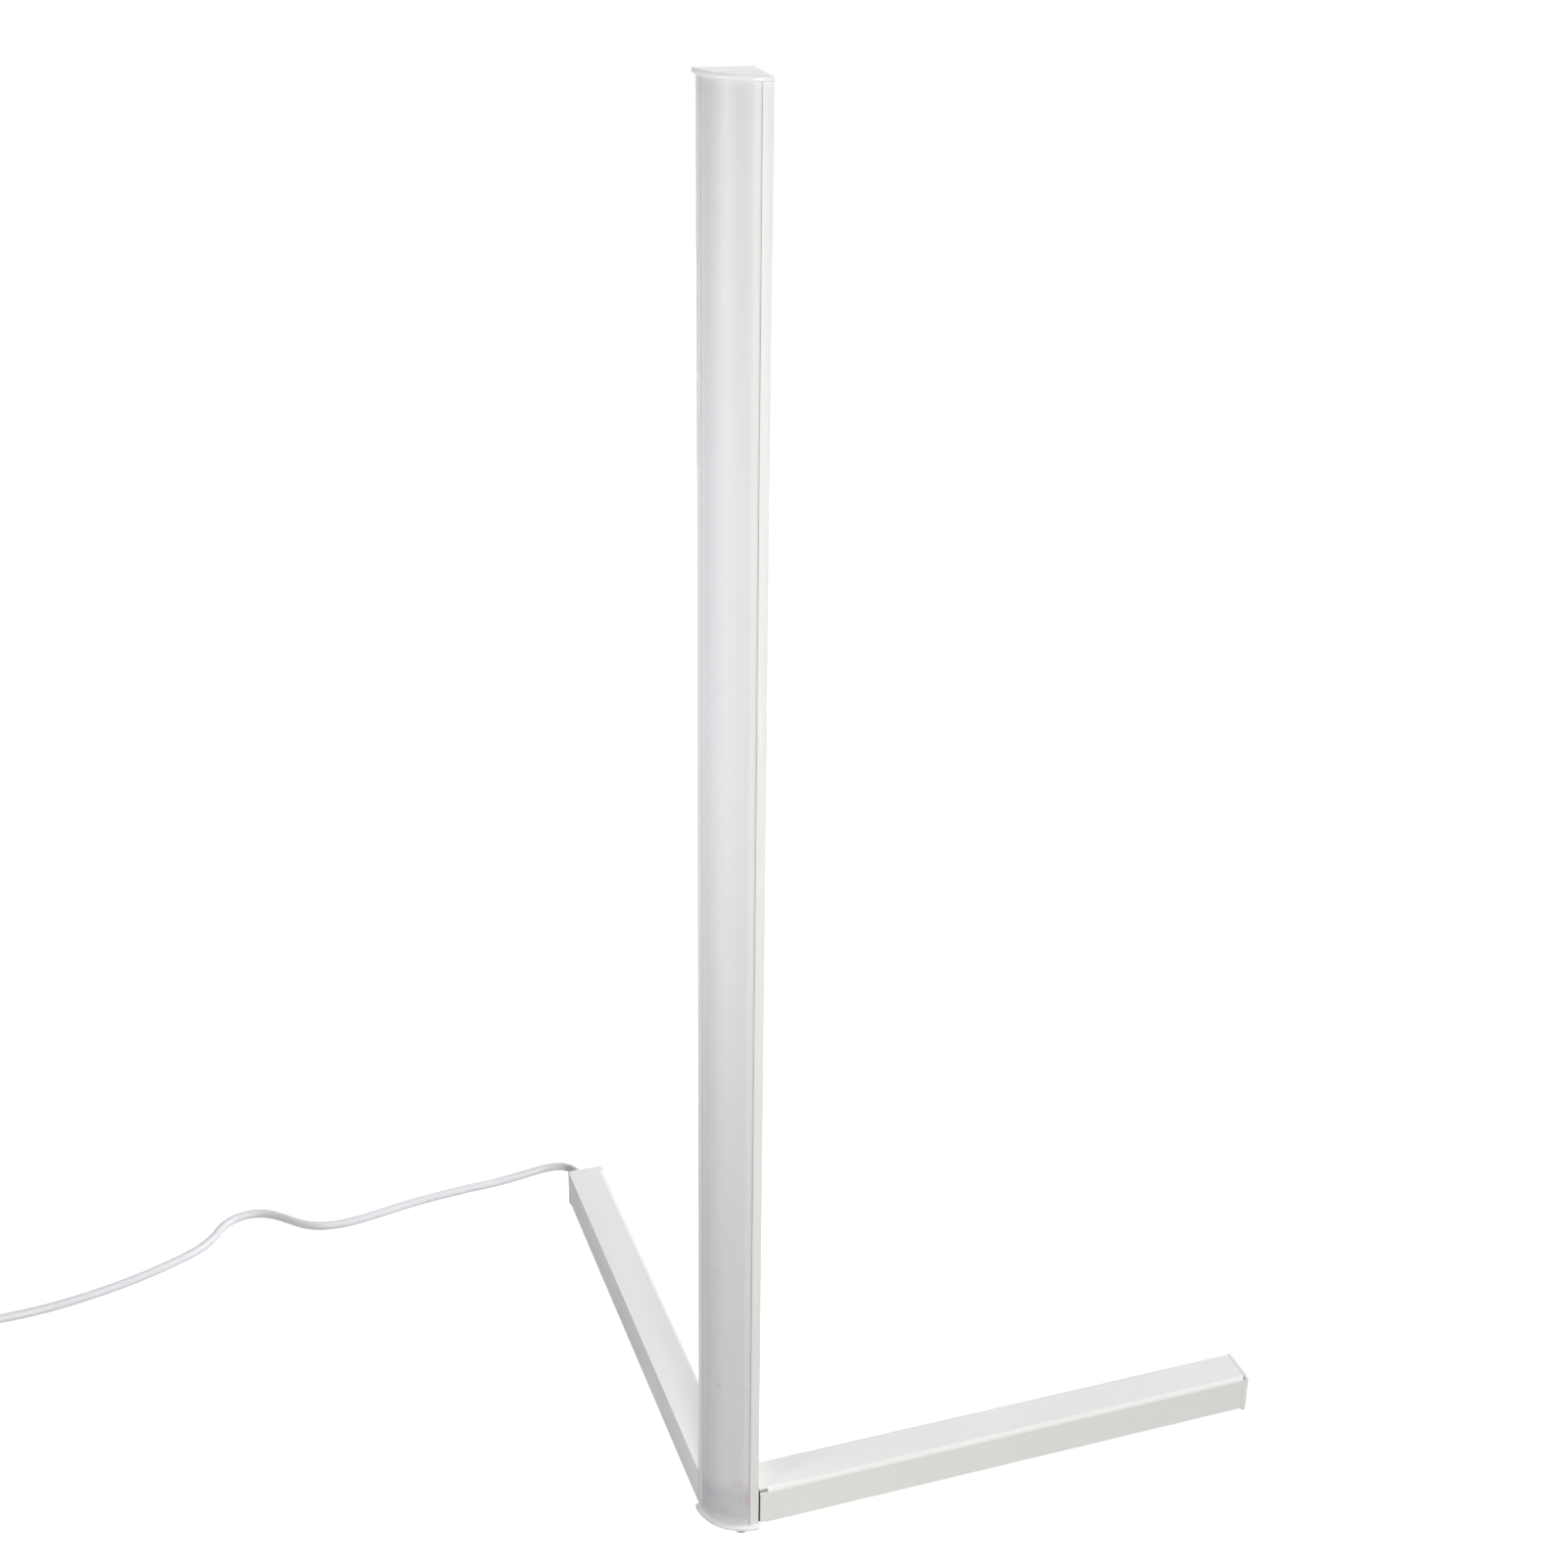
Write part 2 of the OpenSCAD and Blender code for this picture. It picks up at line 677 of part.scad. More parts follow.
module ballast(from) color("darkgray") difference() {
    translate([from, -arm_axis - ballast_w / 2, floor_z])
        cube([ballast_to - from, ballast_w, ballast_h]);
    for (x = feet)
        translate([x, -arm_axis, floor_z - cut])
            cylinder(h = foot_screw_bite + 2 * cut, r = foot_screw_r + screw_play);
}

module arm_feet() color("gray") for (x = feet) translate([x, -arm_axis, 0]) difference() {
    union() {
        cylinder(h = 0.8, r1 = foot_r - 0.8, r2 = foot_r);
        translate([0, 0, 0.8]) cylinder(h = cover_z - 0.8, r = foot_r);
    }
    translate([0, 0, -cut]) cylinder(h = foot_recess + cut, r = foot_head_r + play);
    translate([0, 0, -cut]) cylinder(h = cover_z + 2 * cut, r = foot_screw_r + touch);
}

module foot_screws() color("silver") for (x = feet) translate([x, -arm_axis, 0]) {
    translate([0, 0, foot_recess - foot_head_h]) cylinder(h = foot_head_h, r = foot_head_r);
    translate([0, 0, foot_recess - 0.5])
        cylinder(h = floor_z + foot_screw_bite - foot_recess + 0.5, r = foot_screw_r);
}

// A box with softened corners that stands on the ribs of an arm
module gear_box(from, to, h) {
    corner = 2;
    along_x(from, to) translate([-arm_axis - gear_w / 2, floor_z]) difference() {
        square([gear_w, h]);
        for (x = [0, gear_w]) translate([x, h]) mirror([x / gear_w, 0]) difference() {
            translate([-cut, -corner]) square([corner + cut, corner + cut]);
            translate([corner, -corner]) circle(r = corner);
        }
    }
}

module controller() color("white")
    gear_box(controller_from, controller_to, controller_h);
module driver() color("white") on_left()
    gear_box(driver_from, driver_to, driver_h);

// Low-voltage lead from the supply unit through the column's foot to the controller
module driver_lead() color("dimgray") tube([[-arm_axis, driver_from, wire_z - side_step],
    [-arm_axis, driver_from - 10, wire_z - side_step], [-arm_axis, 0, wire_z - side_step],
    [-19.6, -7, wire_z - side_step], [-17, -13, wire_z - side_step],
    [-12.5, -17.5, wire_z - side_step], [-7, -19.8, wire_z - side_step],
    [0, -arm_axis, wire_z - side_step], [15, -arm_axis, wire_z - side_step],
    [controller_from, -arm_axis, wire_z - side_step]], lead_d, 8);

// ---- the mains cord ----

lead_top = floor_z + ballast_h + cord_d / 2 + play;
module inner_mains_lead() color("white") tube([[-arm_axis, gland_back, cord_z],
    [-arm_axis, gland_back - 6, cord_z], [-arm_axis, gland_back - 13, cord_z + 1.2],
    [-arm_axis, gland_back - 20, cord_z + 3.9], [-arm_axis, gland_back - 26, lead_top - 3.3],
    [-arm_axis, gland_back - 32, lead_top - 1.1], [-arm_axis, gland_back - 39, lead_top],
    [-arm_axis, driver_to, lead_top]], cord_d, 8);

// Moulded bush: a flange and a groove hold it in the end plate, and its tail tapers to the cord
module cord_gland() color("white")
    translate([-arm_axis, gland_back, cord_z]) rotate([-90, 0, 0]) rotate_extrude() {
        tail = gland_tip - arm_to - plate_t;
        plate_at = arm_to - gland_back;
        square([6, plate_at - touch]);
        square([gland_neck_r, plate_at + plate_t + touch]);
        translate([0, plate_at + plate_t + touch]) square([6.2, 1.8]);
        polygon([[0, plate_at + plate_t], [5.6, plate_at + plate_t + 1],
            [4.6, plate_at + plate_t + tail], [0, plate_at + plate_t + tail]]);
    }

module power_cord() color("white") tube(cord_route, cord_d, 8);
module cord_coil() color("white") tube(coil_path, cord_d, 6);
module cord_tail() color("white") tube(tail_route, cord_d, 8);

module cord_tie() color("dimgray") translate([0, coil_centre[1] + tie_w / 2, 0])
    rotate([90, 0, 0]) linear_extrude(tie_w) difference() {
        translate([tie_in - tie_t, 0]) square([tie_out - tie_in + 2 * tie_t, tie_top + tie_t]);
        translate([tie_in, tie_t]) square([tie_out - tie_in, tie_top - tie_t]);
    }

// The plug is drawn pointing along +X from the end of the tail
module at_plug() translate(tail_end) rotate([0, 0, -90]) children();

module plug_plan() {
    polygon([[plug_neck - 4, -7], [plug_neck + 9, -plug_w / 2 + 2], [plug_neck + 14, -plug_w / 2],
        [plug_neck + 20, -plug_w / 2], [plug_neck + plug_len, -plug_w / 2 + 4.5],
        [plug_neck + plug_len, plug_w / 2 - 4.5], [plug_neck + 20, plug_w / 2],
        [plug_neck + 14, plug_w / 2], [plug_neck + 9, plug_w / 2 - 2], [plug_neck - 4, 7]]);
}

module plug_body() color("white") at_plug() {
    round_r = 3;
    intersection() {
        translate([0, 0, -plug_t / 2]) linear_extrude(plug_t) plug_plan();
        rotate([90, 0, 90]) linear_extrude(plug_neck + plug_len) {
            square([plug_w, plug_t - 2 * round_r], center = true);
            square([plug_w - 2 * round_r, plug_t], center = true);
            for (x = [-1, 1]) for (z = [-1, 1])
                translate([x * (plug_w / 2 - round_r), z * (plug_t / 2 - round_r)])
                    circle(r = round_r);
        }
    }
    rotate([0, 90, 0]) rotate_extrude() difference() {
        polygon([[0, 0], [4.6, 0], [6.6, plug_neck], [0, plug_neck]]);
        for (x = [5:5:25]) translate([4.9 + x * 0.06, x]) square([3, 2]);
    }
}

module pin_places() {
    for (y = [-1, 1]) at_plug() translate([plug_neck + plug_len, y * pin_gap / 2, 0])
        rotate([0, 90, 0]) children();
}

module plug_pins() color("silver") pin_places() {
    cylinder(h = sleeve_len + touch, r = 1.6);
    translate([0, 0, sleeve_len + touch]) cylinder(h = pin_len - sleeve_len - touch - 2, r = 2);
    translate([0, 0, pin_len - 2]) sphere(r = 2);
}

module plug_sleeves() color("dimgray") pin_places() difference() {
    cylinder(h = sleeve_len, r = 2);
    translate([0, 0, -cut]) cylinder(h = sleeve_len + 2 * cut, r = 1.65);
}

echo(least_gap_in_the_coil = least_gap, cord_length = cord_length);

column_profile();
diffuser();
top_cap();
bottom_cap();
column_pad();
cap_screws();
led_strip();
led_chips();
strip_resistors();
remote_eye();
wire_common();
wire_red();
wire_green();
wire_blue();
eye_lead();
arm_profile();  // right_arm_profile
arm_cover();  // right_arm_cover
arm_spacer();  // right_arm_spacer
end_plate();  // right_arm_end_plate
joint_block();  // right_joint_block
joint_bolts();  // right_joint_bolts
ballast(controller_to + ballast_gap);  // right_ballast
arm_feet();  // right_feet
foot_screws();  // right_foot_screws
controller();
on_left() arm_profile();  // left_arm_profile
on_left() arm_cover();  // left_arm_cover
on_left() arm_spacer();  // left_arm_spacer
left_end_plate();  // left_arm_end_plate
on_left() joint_block();  // left_joint_block
on_left() joint_bolts();  // left_joint_bolts
on_left() ballast(driver_to + ballast_gap);  // left_ballast
on_left() arm_feet();  // left_feet
on_left() foot_screws();  // left_foot_screws
driver();
driver_lead();
inner_mains_lead();
cord_gland();
power_cord();
cord_coil();
cord_tie();
cord_tail();
plug_body();
plug_pins();
plug_sleeves();
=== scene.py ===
import math

import bpy
from mathutils import Matrix, Vector


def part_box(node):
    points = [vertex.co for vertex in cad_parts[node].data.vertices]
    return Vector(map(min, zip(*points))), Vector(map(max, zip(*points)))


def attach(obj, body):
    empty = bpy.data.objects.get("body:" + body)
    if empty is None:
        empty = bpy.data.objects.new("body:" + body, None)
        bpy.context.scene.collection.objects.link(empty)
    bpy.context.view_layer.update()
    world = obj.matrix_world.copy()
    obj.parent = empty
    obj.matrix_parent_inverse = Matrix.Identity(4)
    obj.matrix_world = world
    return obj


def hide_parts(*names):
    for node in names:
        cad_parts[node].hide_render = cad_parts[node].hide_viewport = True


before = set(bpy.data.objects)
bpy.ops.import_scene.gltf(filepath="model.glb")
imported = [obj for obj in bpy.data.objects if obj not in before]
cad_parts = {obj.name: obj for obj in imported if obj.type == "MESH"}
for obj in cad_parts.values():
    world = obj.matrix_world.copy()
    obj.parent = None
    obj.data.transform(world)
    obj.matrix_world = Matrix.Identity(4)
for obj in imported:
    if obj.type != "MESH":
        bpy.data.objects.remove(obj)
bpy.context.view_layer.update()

mm = 0.001
sharpAngle = 40      # edges that turn by more degrees than this stay sharp
stripFacing = 225    # the way the light strip faces, in degrees from X: into the room's corner

# Camera: fitted to the edges of the column, the arms and the cord

cameraSizes = {
    "position": (-0.42395, -1.33043, 1.24983),
    "yaw": 0.3872,            # in radians, from Y towards X
    "pitch": 0.4294,          # downwards
    "roll": 0.0407,
    "lens": 54.84,
    "sensor": 36,
    "shift": (-0.0874, -0.0159),
    "clipStart": 0.01,
}


def makeCamera(sizes):
    yaw, pitch, roll = sizes["yaw"], sizes["pitch"], sizes["roll"]
    ahead = Vector((math.sin(yaw) * math.cos(pitch), math.cos(yaw) * math.cos(pitch),
                    -math.sin(pitch)))
    level = Vector((math.cos(yaw), -math.sin(yaw), 0))
    upward = level.cross(ahead)
    across = math.cos(roll) * level + math.sin(roll) * upward
    above = math.cos(roll) * upward - math.sin(roll) * level
    data = bpy.data.cameras.new("camera")
    data.lens = sizes["lens"]
    data.sensor_width = sizes["sensor"]
    data.shift_x, data.shift_y = sizes["shift"]
    data.clip_start = sizes["clipStart"]
    camera = bpy.data.objects.new("camera", data)
    turn = Matrix((across, above, -ahead)).transposed().to_4x4()
    camera.matrix_world = Matrix.Translation(sizes["position"]) @ turn
    bpy.context.scene.collection.objects.link(camera)
    bpy.context.scene.camera = camera


makeCamera(cameraSizes)
print("camera made")


# Shared mesh helpers

def makePiece(name, points, faces, finish, slotName, replaced=()):
    mesh = bpy.data.meshes.new(name)
    mesh.from_pydata(points, [], faces)
    mesh.validate()
    mesh.materials.append(finish)
    return placePiece(name, mesh, replaced)


def placePiece(name, mesh, replaced=()):
    mesh.shade_smooth()
    mesh.set_sharp_from_angle(angle=math.radians(sharpAngle))
    piece = bpy.data.objects.new(name, mesh)
    bpy.context.scene.collection.objects.link(piece)
    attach(piece, "root")
    if replaced:
        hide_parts(*replaced)
    return piece


def joinRings(rings, closed=False):
    # Faces between rings of equal size, with a cap on each end unless the rings close up
    count, sides = len(rings), len(rings[0])
    faces = []
    for i in range(count if closed else count - 1):
        here, there = i * sides, (i + 1) % count * sides
        for k in range(sides):
            n = (k + 1) % sides
            faces.append((here + k, here + n, there + n, there + k))
    if not closed:
        faces.append(tuple(reversed(range(sides))))
        faces.append(tuple((count - 1) * sides + k for k in range(sides)))
    return [point for ring in rings for point in ring], faces


def smoothPath(points, step):
    # A curve through all the points, with a point about every step
    path = []
    padded = [2 * points[0] - points[1], *points, 2 * points[-1] - points[-2]]
    for p, q, r, s in zip(padded, padded[1:], padded[2:], padded[3:]):
        count = max(1, round((r - q).length / step))
        for i in range(count):
            t = i / count
            path.append(0.5 * (2 * q + (r - p) * t + (2 * p - 5 * q + 4 * r - s) * t ** 2
                               + (3 * q - p - 3 * r + s) * t ** 3))
    return path + [points[-1]]


def directions(path):
    ends = [path[0], *path, path[-1]]
    return [(b - a).normalized() for a, b in zip(ends, ends[2:])]


def sweepRings(path, section):
    # section: flat points (across, up) carried along the path without twist
    up = Vector((0, 0, 1))
    rings = []
    for centre, ahead in zip(path, directions(path)):
        up = (up - ahead * up.dot(ahead)).normalized()
        left = up.cross(ahead)
        rings.append([centre + left * x + up * y for x, y in section])
    return rings


def roundSection(radius, sides):
    turns = [2 * math.pi * k / sides for k in range(sides)]
    return [(radius * math.cos(t), radius * math.sin(t)) for t in turns]


def squaredSection(halfWidth, halfHeight, squareness, sides):
    # An oval at squareness 2 that turns into a box with rounded corners as it rises
    section = []
    for c, s in roundSection(1, sides):
        section.append((halfWidth * math.copysign(abs(c) ** (2 / squareness), c),
                        halfHeight * math.copysign(abs(s) ** (2 / squareness), s)))
    return section


def pathLength(path):
    return sum((b - a).length for a, b in zip(path, path[1:]))


def revolveRings(centre, axis, outline, sides):
    # outline: (along, radius) from one end of the axis to the other, in mm
    side = axis.orthogonal().normalized()
    other = axis.cross(side)
    rings = []
    for along, radius in outline:
        rings.append([(centre + axis * along + (side * x + other * y) * radius) * mm
                      for x, y in roundSection(1, sides)])
    return rings


# Materials and the node helper that they share with the rows below

def linear(code):
    # sRGB hex to the linear colour that a shader works in
    values = [int(code[i:i + 2], 16) / 255 for i in (1, 3, 5)]
    values = [v / 12.92 if v <= 0.04045 else ((v + 0.055) / 1.055) ** 2.4 for v in values]
    return (*values, 1)


def addNode(tree, kind, inputs=None, **settings):
    # inputs: by name, or by number among the sockets in use; a node stands for its first output
    node = tree.nodes.new(kind)
    for name, value in settings.items():
        setattr(node, name, value)
    inUse = [socket for socket in node.inputs if socket.enabled]
    for name, value in (inputs or {}).items():
        socket = inUse[name] if isinstance(name, int) else node.inputs[name]
        if isinstance(value, bpy.types.Node):
            value = next(output for output in value.outputs if output.enabled)
        if isinstance(value, bpy.types.NodeSocket):
            tree.links.new(value, socket)
        else:
            socket.default_value = value
    return node


def startMaterial(name, colour, roughness, **more):
    material = bpy.data.materials.new(name)
    material.use_nodes = True
    tree = material.node_tree
    shader = tree.nodes["Principled BSDF"]
    shader.inputs["Base Color"].default_value = linear(colour)
    shader.inputs["Roughness"].default_value = roughness
    for socket, value in more.items():
        shader.inputs[socket.replace("_", " ")].default_value = value
    place = addNode(tree, "ShaderNodeTexCoord").outputs["Object"]
    return material, tree, shader, place


def makeFinish(name, pale, dark, dull, patch, grain, depth, swing=0.04, **more):
    # Two close colours and a little more or less gloss in patches, over a fine relief.
    # dull and swing: the roughness, and how far it goes to either side of that
    # patch, grain and depth: widths of one patch and one grain, and the grain's height, in mm
    material, tree, shader, place = startMaterial(name, pale, dull, **more)
    patches = addNode(tree, "ShaderNodeTexNoise", {"Vector": place, "Scale": 1 / (patch * mm),
                                                   "Detail": 3.0})
    colour = addNode(tree, "ShaderNodeMix", {0: patches, 1: linear(dark), 2: linear(pale)},
                     data_type="RGBA")
    tree.links.new(colour.outputs[2], shader.inputs["Base Color"])
    gloss = addNode(tree, "ShaderNodeMapRange",
                    {"Value": patches, "From Min": 0.3, "From Max": 0.7,
                     "To Min": dull - swing, "To Max": dull + swing})
    tree.links.new(gloss.outputs[0], shader.inputs["Roughness"])
    grains = addNode(tree, "ShaderNodeTexNoise", {"Vector": place, "Scale": 1 / (grain * mm),
                                                  "Detail": 2.0})
    relief = addNode(tree, "ShaderNodeBump", {"Height": grains, "Distance": depth * mm})
    tree.links.new(relief.outputs[0], shader.inputs["Normal"])
    return material


# Satin powder coat on aluminium: its orange peel, drawn twice as coarse as it is, breaks up the
# reflections, and long patches of slightly warmer white keep the arms from looking like paper
powderCoat = makeFinish("powderCoat", "#f5f5f4", "#f1f1ef",
                        dull=0.32, patch=60, grain=0.9, depth=0.012)
# Moulded ABS: a cooler white than the coat and glossier, so the caps' rounded edges shine
mouldedWhite = makeFinish("mouldedWhite", "#f6f7f9", "#f3f4f7",
                          dull=0.2, patch=12, grain=0.35, depth=0.003)
# Soft PVC of the cord: a cool white with a dull waxy gloss
cordJacket = makeFinish("cordJacket", "#f9f9fd", "#f6f6fa",
                        dull=0.36, patch=6, grain=0.8, depth=0.01)
# Moulded PVC of plug and strain relief: the same cool white, with a fine spark texture
plugPvc = makeFinish("plugPvc", "#f6f6f9", "#f2f2f5",
                     dull=0.42, patch=8, grain=0.4, depth=0.012)
# Black EPDM rubber between column and arms: the dark line of the joint
blackRubber = makeFinish("blackRubber", "#1d1d1f", "#151517",
                         dull=0.8, patch=3, grain=0.4, depth=0.02)
# Moulded feet: dark grey rubber, a little dusty
footRubber = makeFinish("footRubber", "#59595b", "#434345",
                        dull=0.8, patch=3, grain=0.4, depth=0.03)
# Cellular rubber of the pad under the column: pale grey and matt, with open pores
padRubber = makeFinish("padRubber", "#bdbdc2", "#a9a9ae",
                       dull=0.9, patch=2, grain=0.5, depth=0.05)
# Extruded PVC and moulded housings inside the arms: plain satin off-white
housingPlastic = makeFinish("housingPlastic", "#e2e3e1", "#dadbd9",
                            dull=0.5, patch=20, grain=0.5, depth=0.01)
# Black epoxy and plastic of the small parts on the light strip: smooth, with a soft shine
blackPlastic = makeFinish("blackPlastic", "#1c1c1f", "#141416",
                          dull=0.3, patch=4, grain=0.4, depth=0.005)
# Black nylon sleeves of the plug's pins: duller than the pins that they end on
sleeveNylon = makeFinish("sleeveNylon", "#303033", "#272729",
                         dull=0.45, patch=4, grain=0.4, depth=0.005)
# Zinc on steel: cloudy crystals, duller on the hot-rolled bars than on the screws
screwZinc = makeFinish("screwZinc", "#bbbdbf", "#a8aaad",
                       dull=0.32, patch=2, grain=0.2, depth=0.004, Metallic=1.0)
barSteel = makeFinish("barSteel", "#8f9194", "#77797c",
                      dull=0.46, patch=6, grain=0.3, depth=0.01, Metallic=1.0)
# Nickel-plated brass of the pins: a warm mirror with fine drawing marks
pinNickel = makeFinish("pinNickel", "#dcdad4", "#cfcdc6",
                       dull=0.22, patch=3, grain=0.15, depth=0.002, Metallic=1.0)
# Hook-and-loop strap: a matt pile that catches light at its edges
strapPile = makeFinish("strapPile", "#3c3c40", "#1f1f21",
                       dull=0.9, patch=0.6, grain=0.3, depth=0.15, Sheen_Weight=0.4)
# Frames of the light chips: moulded nylon, a chalky warm white
chipNylon = makeFinish("chipNylon", "#f4f3ee", "#efeee8",
                       dull=0.35, patch=2, grain=0.3, depth=0.004)
# Silicone over the light chips: a glossy straw-yellow drop
phosphorGel = makeFinish("phosphorGel", "#e6da94", "#dccd7c",
                         dull=0.15, patch=0.8, grain=0.4, depth=0.002)
# Tinned ends of the resistors: a soft bright metal
tinEnds = makeFinish("tinEnds", "#d0d1d2", "#bebfc1",
                     dull=0.35, patch=0.8, grain=0.2, depth=0.004, Metallic=1.0)
# Wire insulation: glossy PVC, a little uneven where it was pulled
wireColours = {
    "wire_common": ("blackPvc", "#1d1d1f", "#19191b"),
    "wire_red": ("redPvc", "#c62a2e", "#b82428"),
    "wire_green": ("greenPvc", "#2e9f4e", "#279045"),
    "wire_blue": ("bluePvc", "#2e59c8", "#274fba"),
    "eye_lead": ("greyPvc", "#909194", "#86878a"),
    "driver_lead": ("darkGreyPvc", "#3c3c3f", "#353538"),
}
wireFinishes = {node: makeFinish(*colours, dull=0.32, patch=2, grain=0.6, depth=0.01)
                for node, colours in wireColours.items()}

opalLook = {
    "dull": 0.42,
    "light": "#e5e5e8",       # painted light in the curve's middle, over the hollow
    "shade": "#e0e0e3",
    "pale": "#e7e7ea",        # painted light near both edges, where the white walls stand behind
    # Painted shade at both edges, beside the grooves
    "edge": "#d0d0d3",
    # Colours from the curve's middle to both of its edges: share of the half span, name
    "halfSpan": 35,           # in degrees
    "stops": ((0, "light"), (0.45, "shade"), (0.7, "shade"), (0.8, "pale"), (0.91, "pale"),
              (0.975, "edge")),
    "haze": "#a2a2aa",
    "hazeShare": 0.06,
    "cloud": 45,              # width of a cloud of haze, in mm
    "line": 0.5,              # width of a drawing line
    "lineStretch": 100,       # how many times as long as it is wide
    "lineDepth": 0.004,
    "foot": "#d3d3d7",        # painted shade low down, where bolts and leads stand behind it and no white web
    "footFrom": 6,
    "footTo": 46,
    "footEdge": 8,
    "cutPitch": 100,          # the strip's cutting lines
    "firstCut": 128,
    "cutsFrom": 92,
    "cutsFadeFrom": 150,
    "cutsFadeTo": 420,
    # Faint colours of what lies behind: hex, angle, height, half width in degrees, half height,
    # share. No height: once at each cutting line
    "spots": (
        ("#d3b0bb", 76, 29, 3, 6, 0.45), ("#d8bacb", 66, 43, 9, 4, 0.35),
        ("#8fb0c4", 67, 29, 3.5, 4, 0.2), ("#a9a9c6", 27, 28, 12, 6, 0.2),
        ("#a9a9c6", 47, 17, 8, 5, 0.2), ("#d0a9b6", 40, None, 3, 2.5, 0.3),
        ("#d3b6ac", 72, None, 3, 2.5, 0.2),
    ),
}


# Painted light and shade across the curve: a colour for each angle off its middle
def opalPaintedShading(tree, angle, look):
    off = addNode(tree, "ShaderNodeMath", {0: angle, 1: math.pi / 4}, operation="SUBTRACT")
    off = addNode(tree, "ShaderNodeMath", {0: off}, operation="ABSOLUTE")
    across = addNode(tree, "ShaderNodeMath", {0: off, 1: math.radians(look["halfSpan"])},
                     operation="DIVIDE")
    stripes = addNode(tree, "ShaderNodeValToRGB", {"Fac": across})
    elements = stripes.color_ramp.elements
    for i, (at, name) in enumerate(look["stops"]):
        element = elements[i] if i < 2 else elements.new(at)
        element.position, element.color = at, linear(look[name])
    return stripes


def opalFootShade(tree, z, look):
    # 1 over the height of the painted shade at the foot, with a soft step at both ends
    low = addNode(tree, "ShaderNodeMapRange",
                  {"Value": z, "From Min": look["footFrom"] * mm,
                   "From Max": (look["footFrom"] + look["footEdge"]) * mm},
                  interpolation_type="SMOOTHSTEP")
    high = addNode(tree, "ShaderNodeMapRange",
                   {"Value": z, "From Min": look["footTo"] * mm,
                    "From Max": (look["footTo"] - 2 * look["footEdge"]) * mm},
                   interpolation_type="SMOOTHSTEP")
    return addNode(tree, "ShaderNodeMath", {0: low, 1: high}, operation="MULTIPLY")


def opalCuts(tree, z, look):
    # Height off the nearest cutting line, and how much of its colours shows at this height
    fade = addNode(tree, "ShaderNodeMapRange",
                   {"Value": z, "From Min": look["cutsFadeFrom"] * mm,
                    "From Max": look["cutsFadeTo"] * mm, "To Min": 1.0, "To Max": 0.0})
    aboveFoot = addNode(tree, "ShaderNodeMath", {0: z, 1: look["cutsFrom"] * mm},
                        operation="GREATER_THAN")
    fade = addNode(tree, "ShaderNodeMath", {0: fade, 1: aboveFoot}, operation="MULTIPLY")
    fromCut = addNode(tree, "ShaderNodeMath", {0: z, 1: look["firstCut"] * mm},
                      operation="SUBTRACT")
    fromCut = addNode(tree, "ShaderNodeMath", {0: fromCut, 1: look["cutPitch"] * mm / 2},
                      operation="PINGPONG")
    return fromCut, fade


def opalSpot(tree, angle, above, middle, wide, tall, strength):
    # A soft oval: strength at its middle, and 1/e of that at its half width and half height
    aside = addNode(tree, "ShaderNodeMath", {0: angle, 1: math.radians(middle)},
                    operation="SUBTRACT")
    aside = addNode(tree, "ShaderNodeMath", {0: aside, 1: math.radians(wide)},
                    operation="DIVIDE")
    above = addNode(tree, "ShaderNodeMath", {0: above, 1: tall * mm}, operation="DIVIDE")
    flat = addNode(tree, "ShaderNodeCombineXYZ", {"X": aside, "Y": above})
    far = addNode(tree, "ShaderNodeVectorMath", {0: flat, 1: flat}, operation="DOT_PRODUCT")
    thin = addNode(tree, "ShaderNodeMath", {0: math.exp(-1), 1: far.outputs["Value"]},
                   operation="POWER")
    return addNode(tree, "ShaderNodeMath", {0: thin, 1: strength}, operation="MULTIPLY")
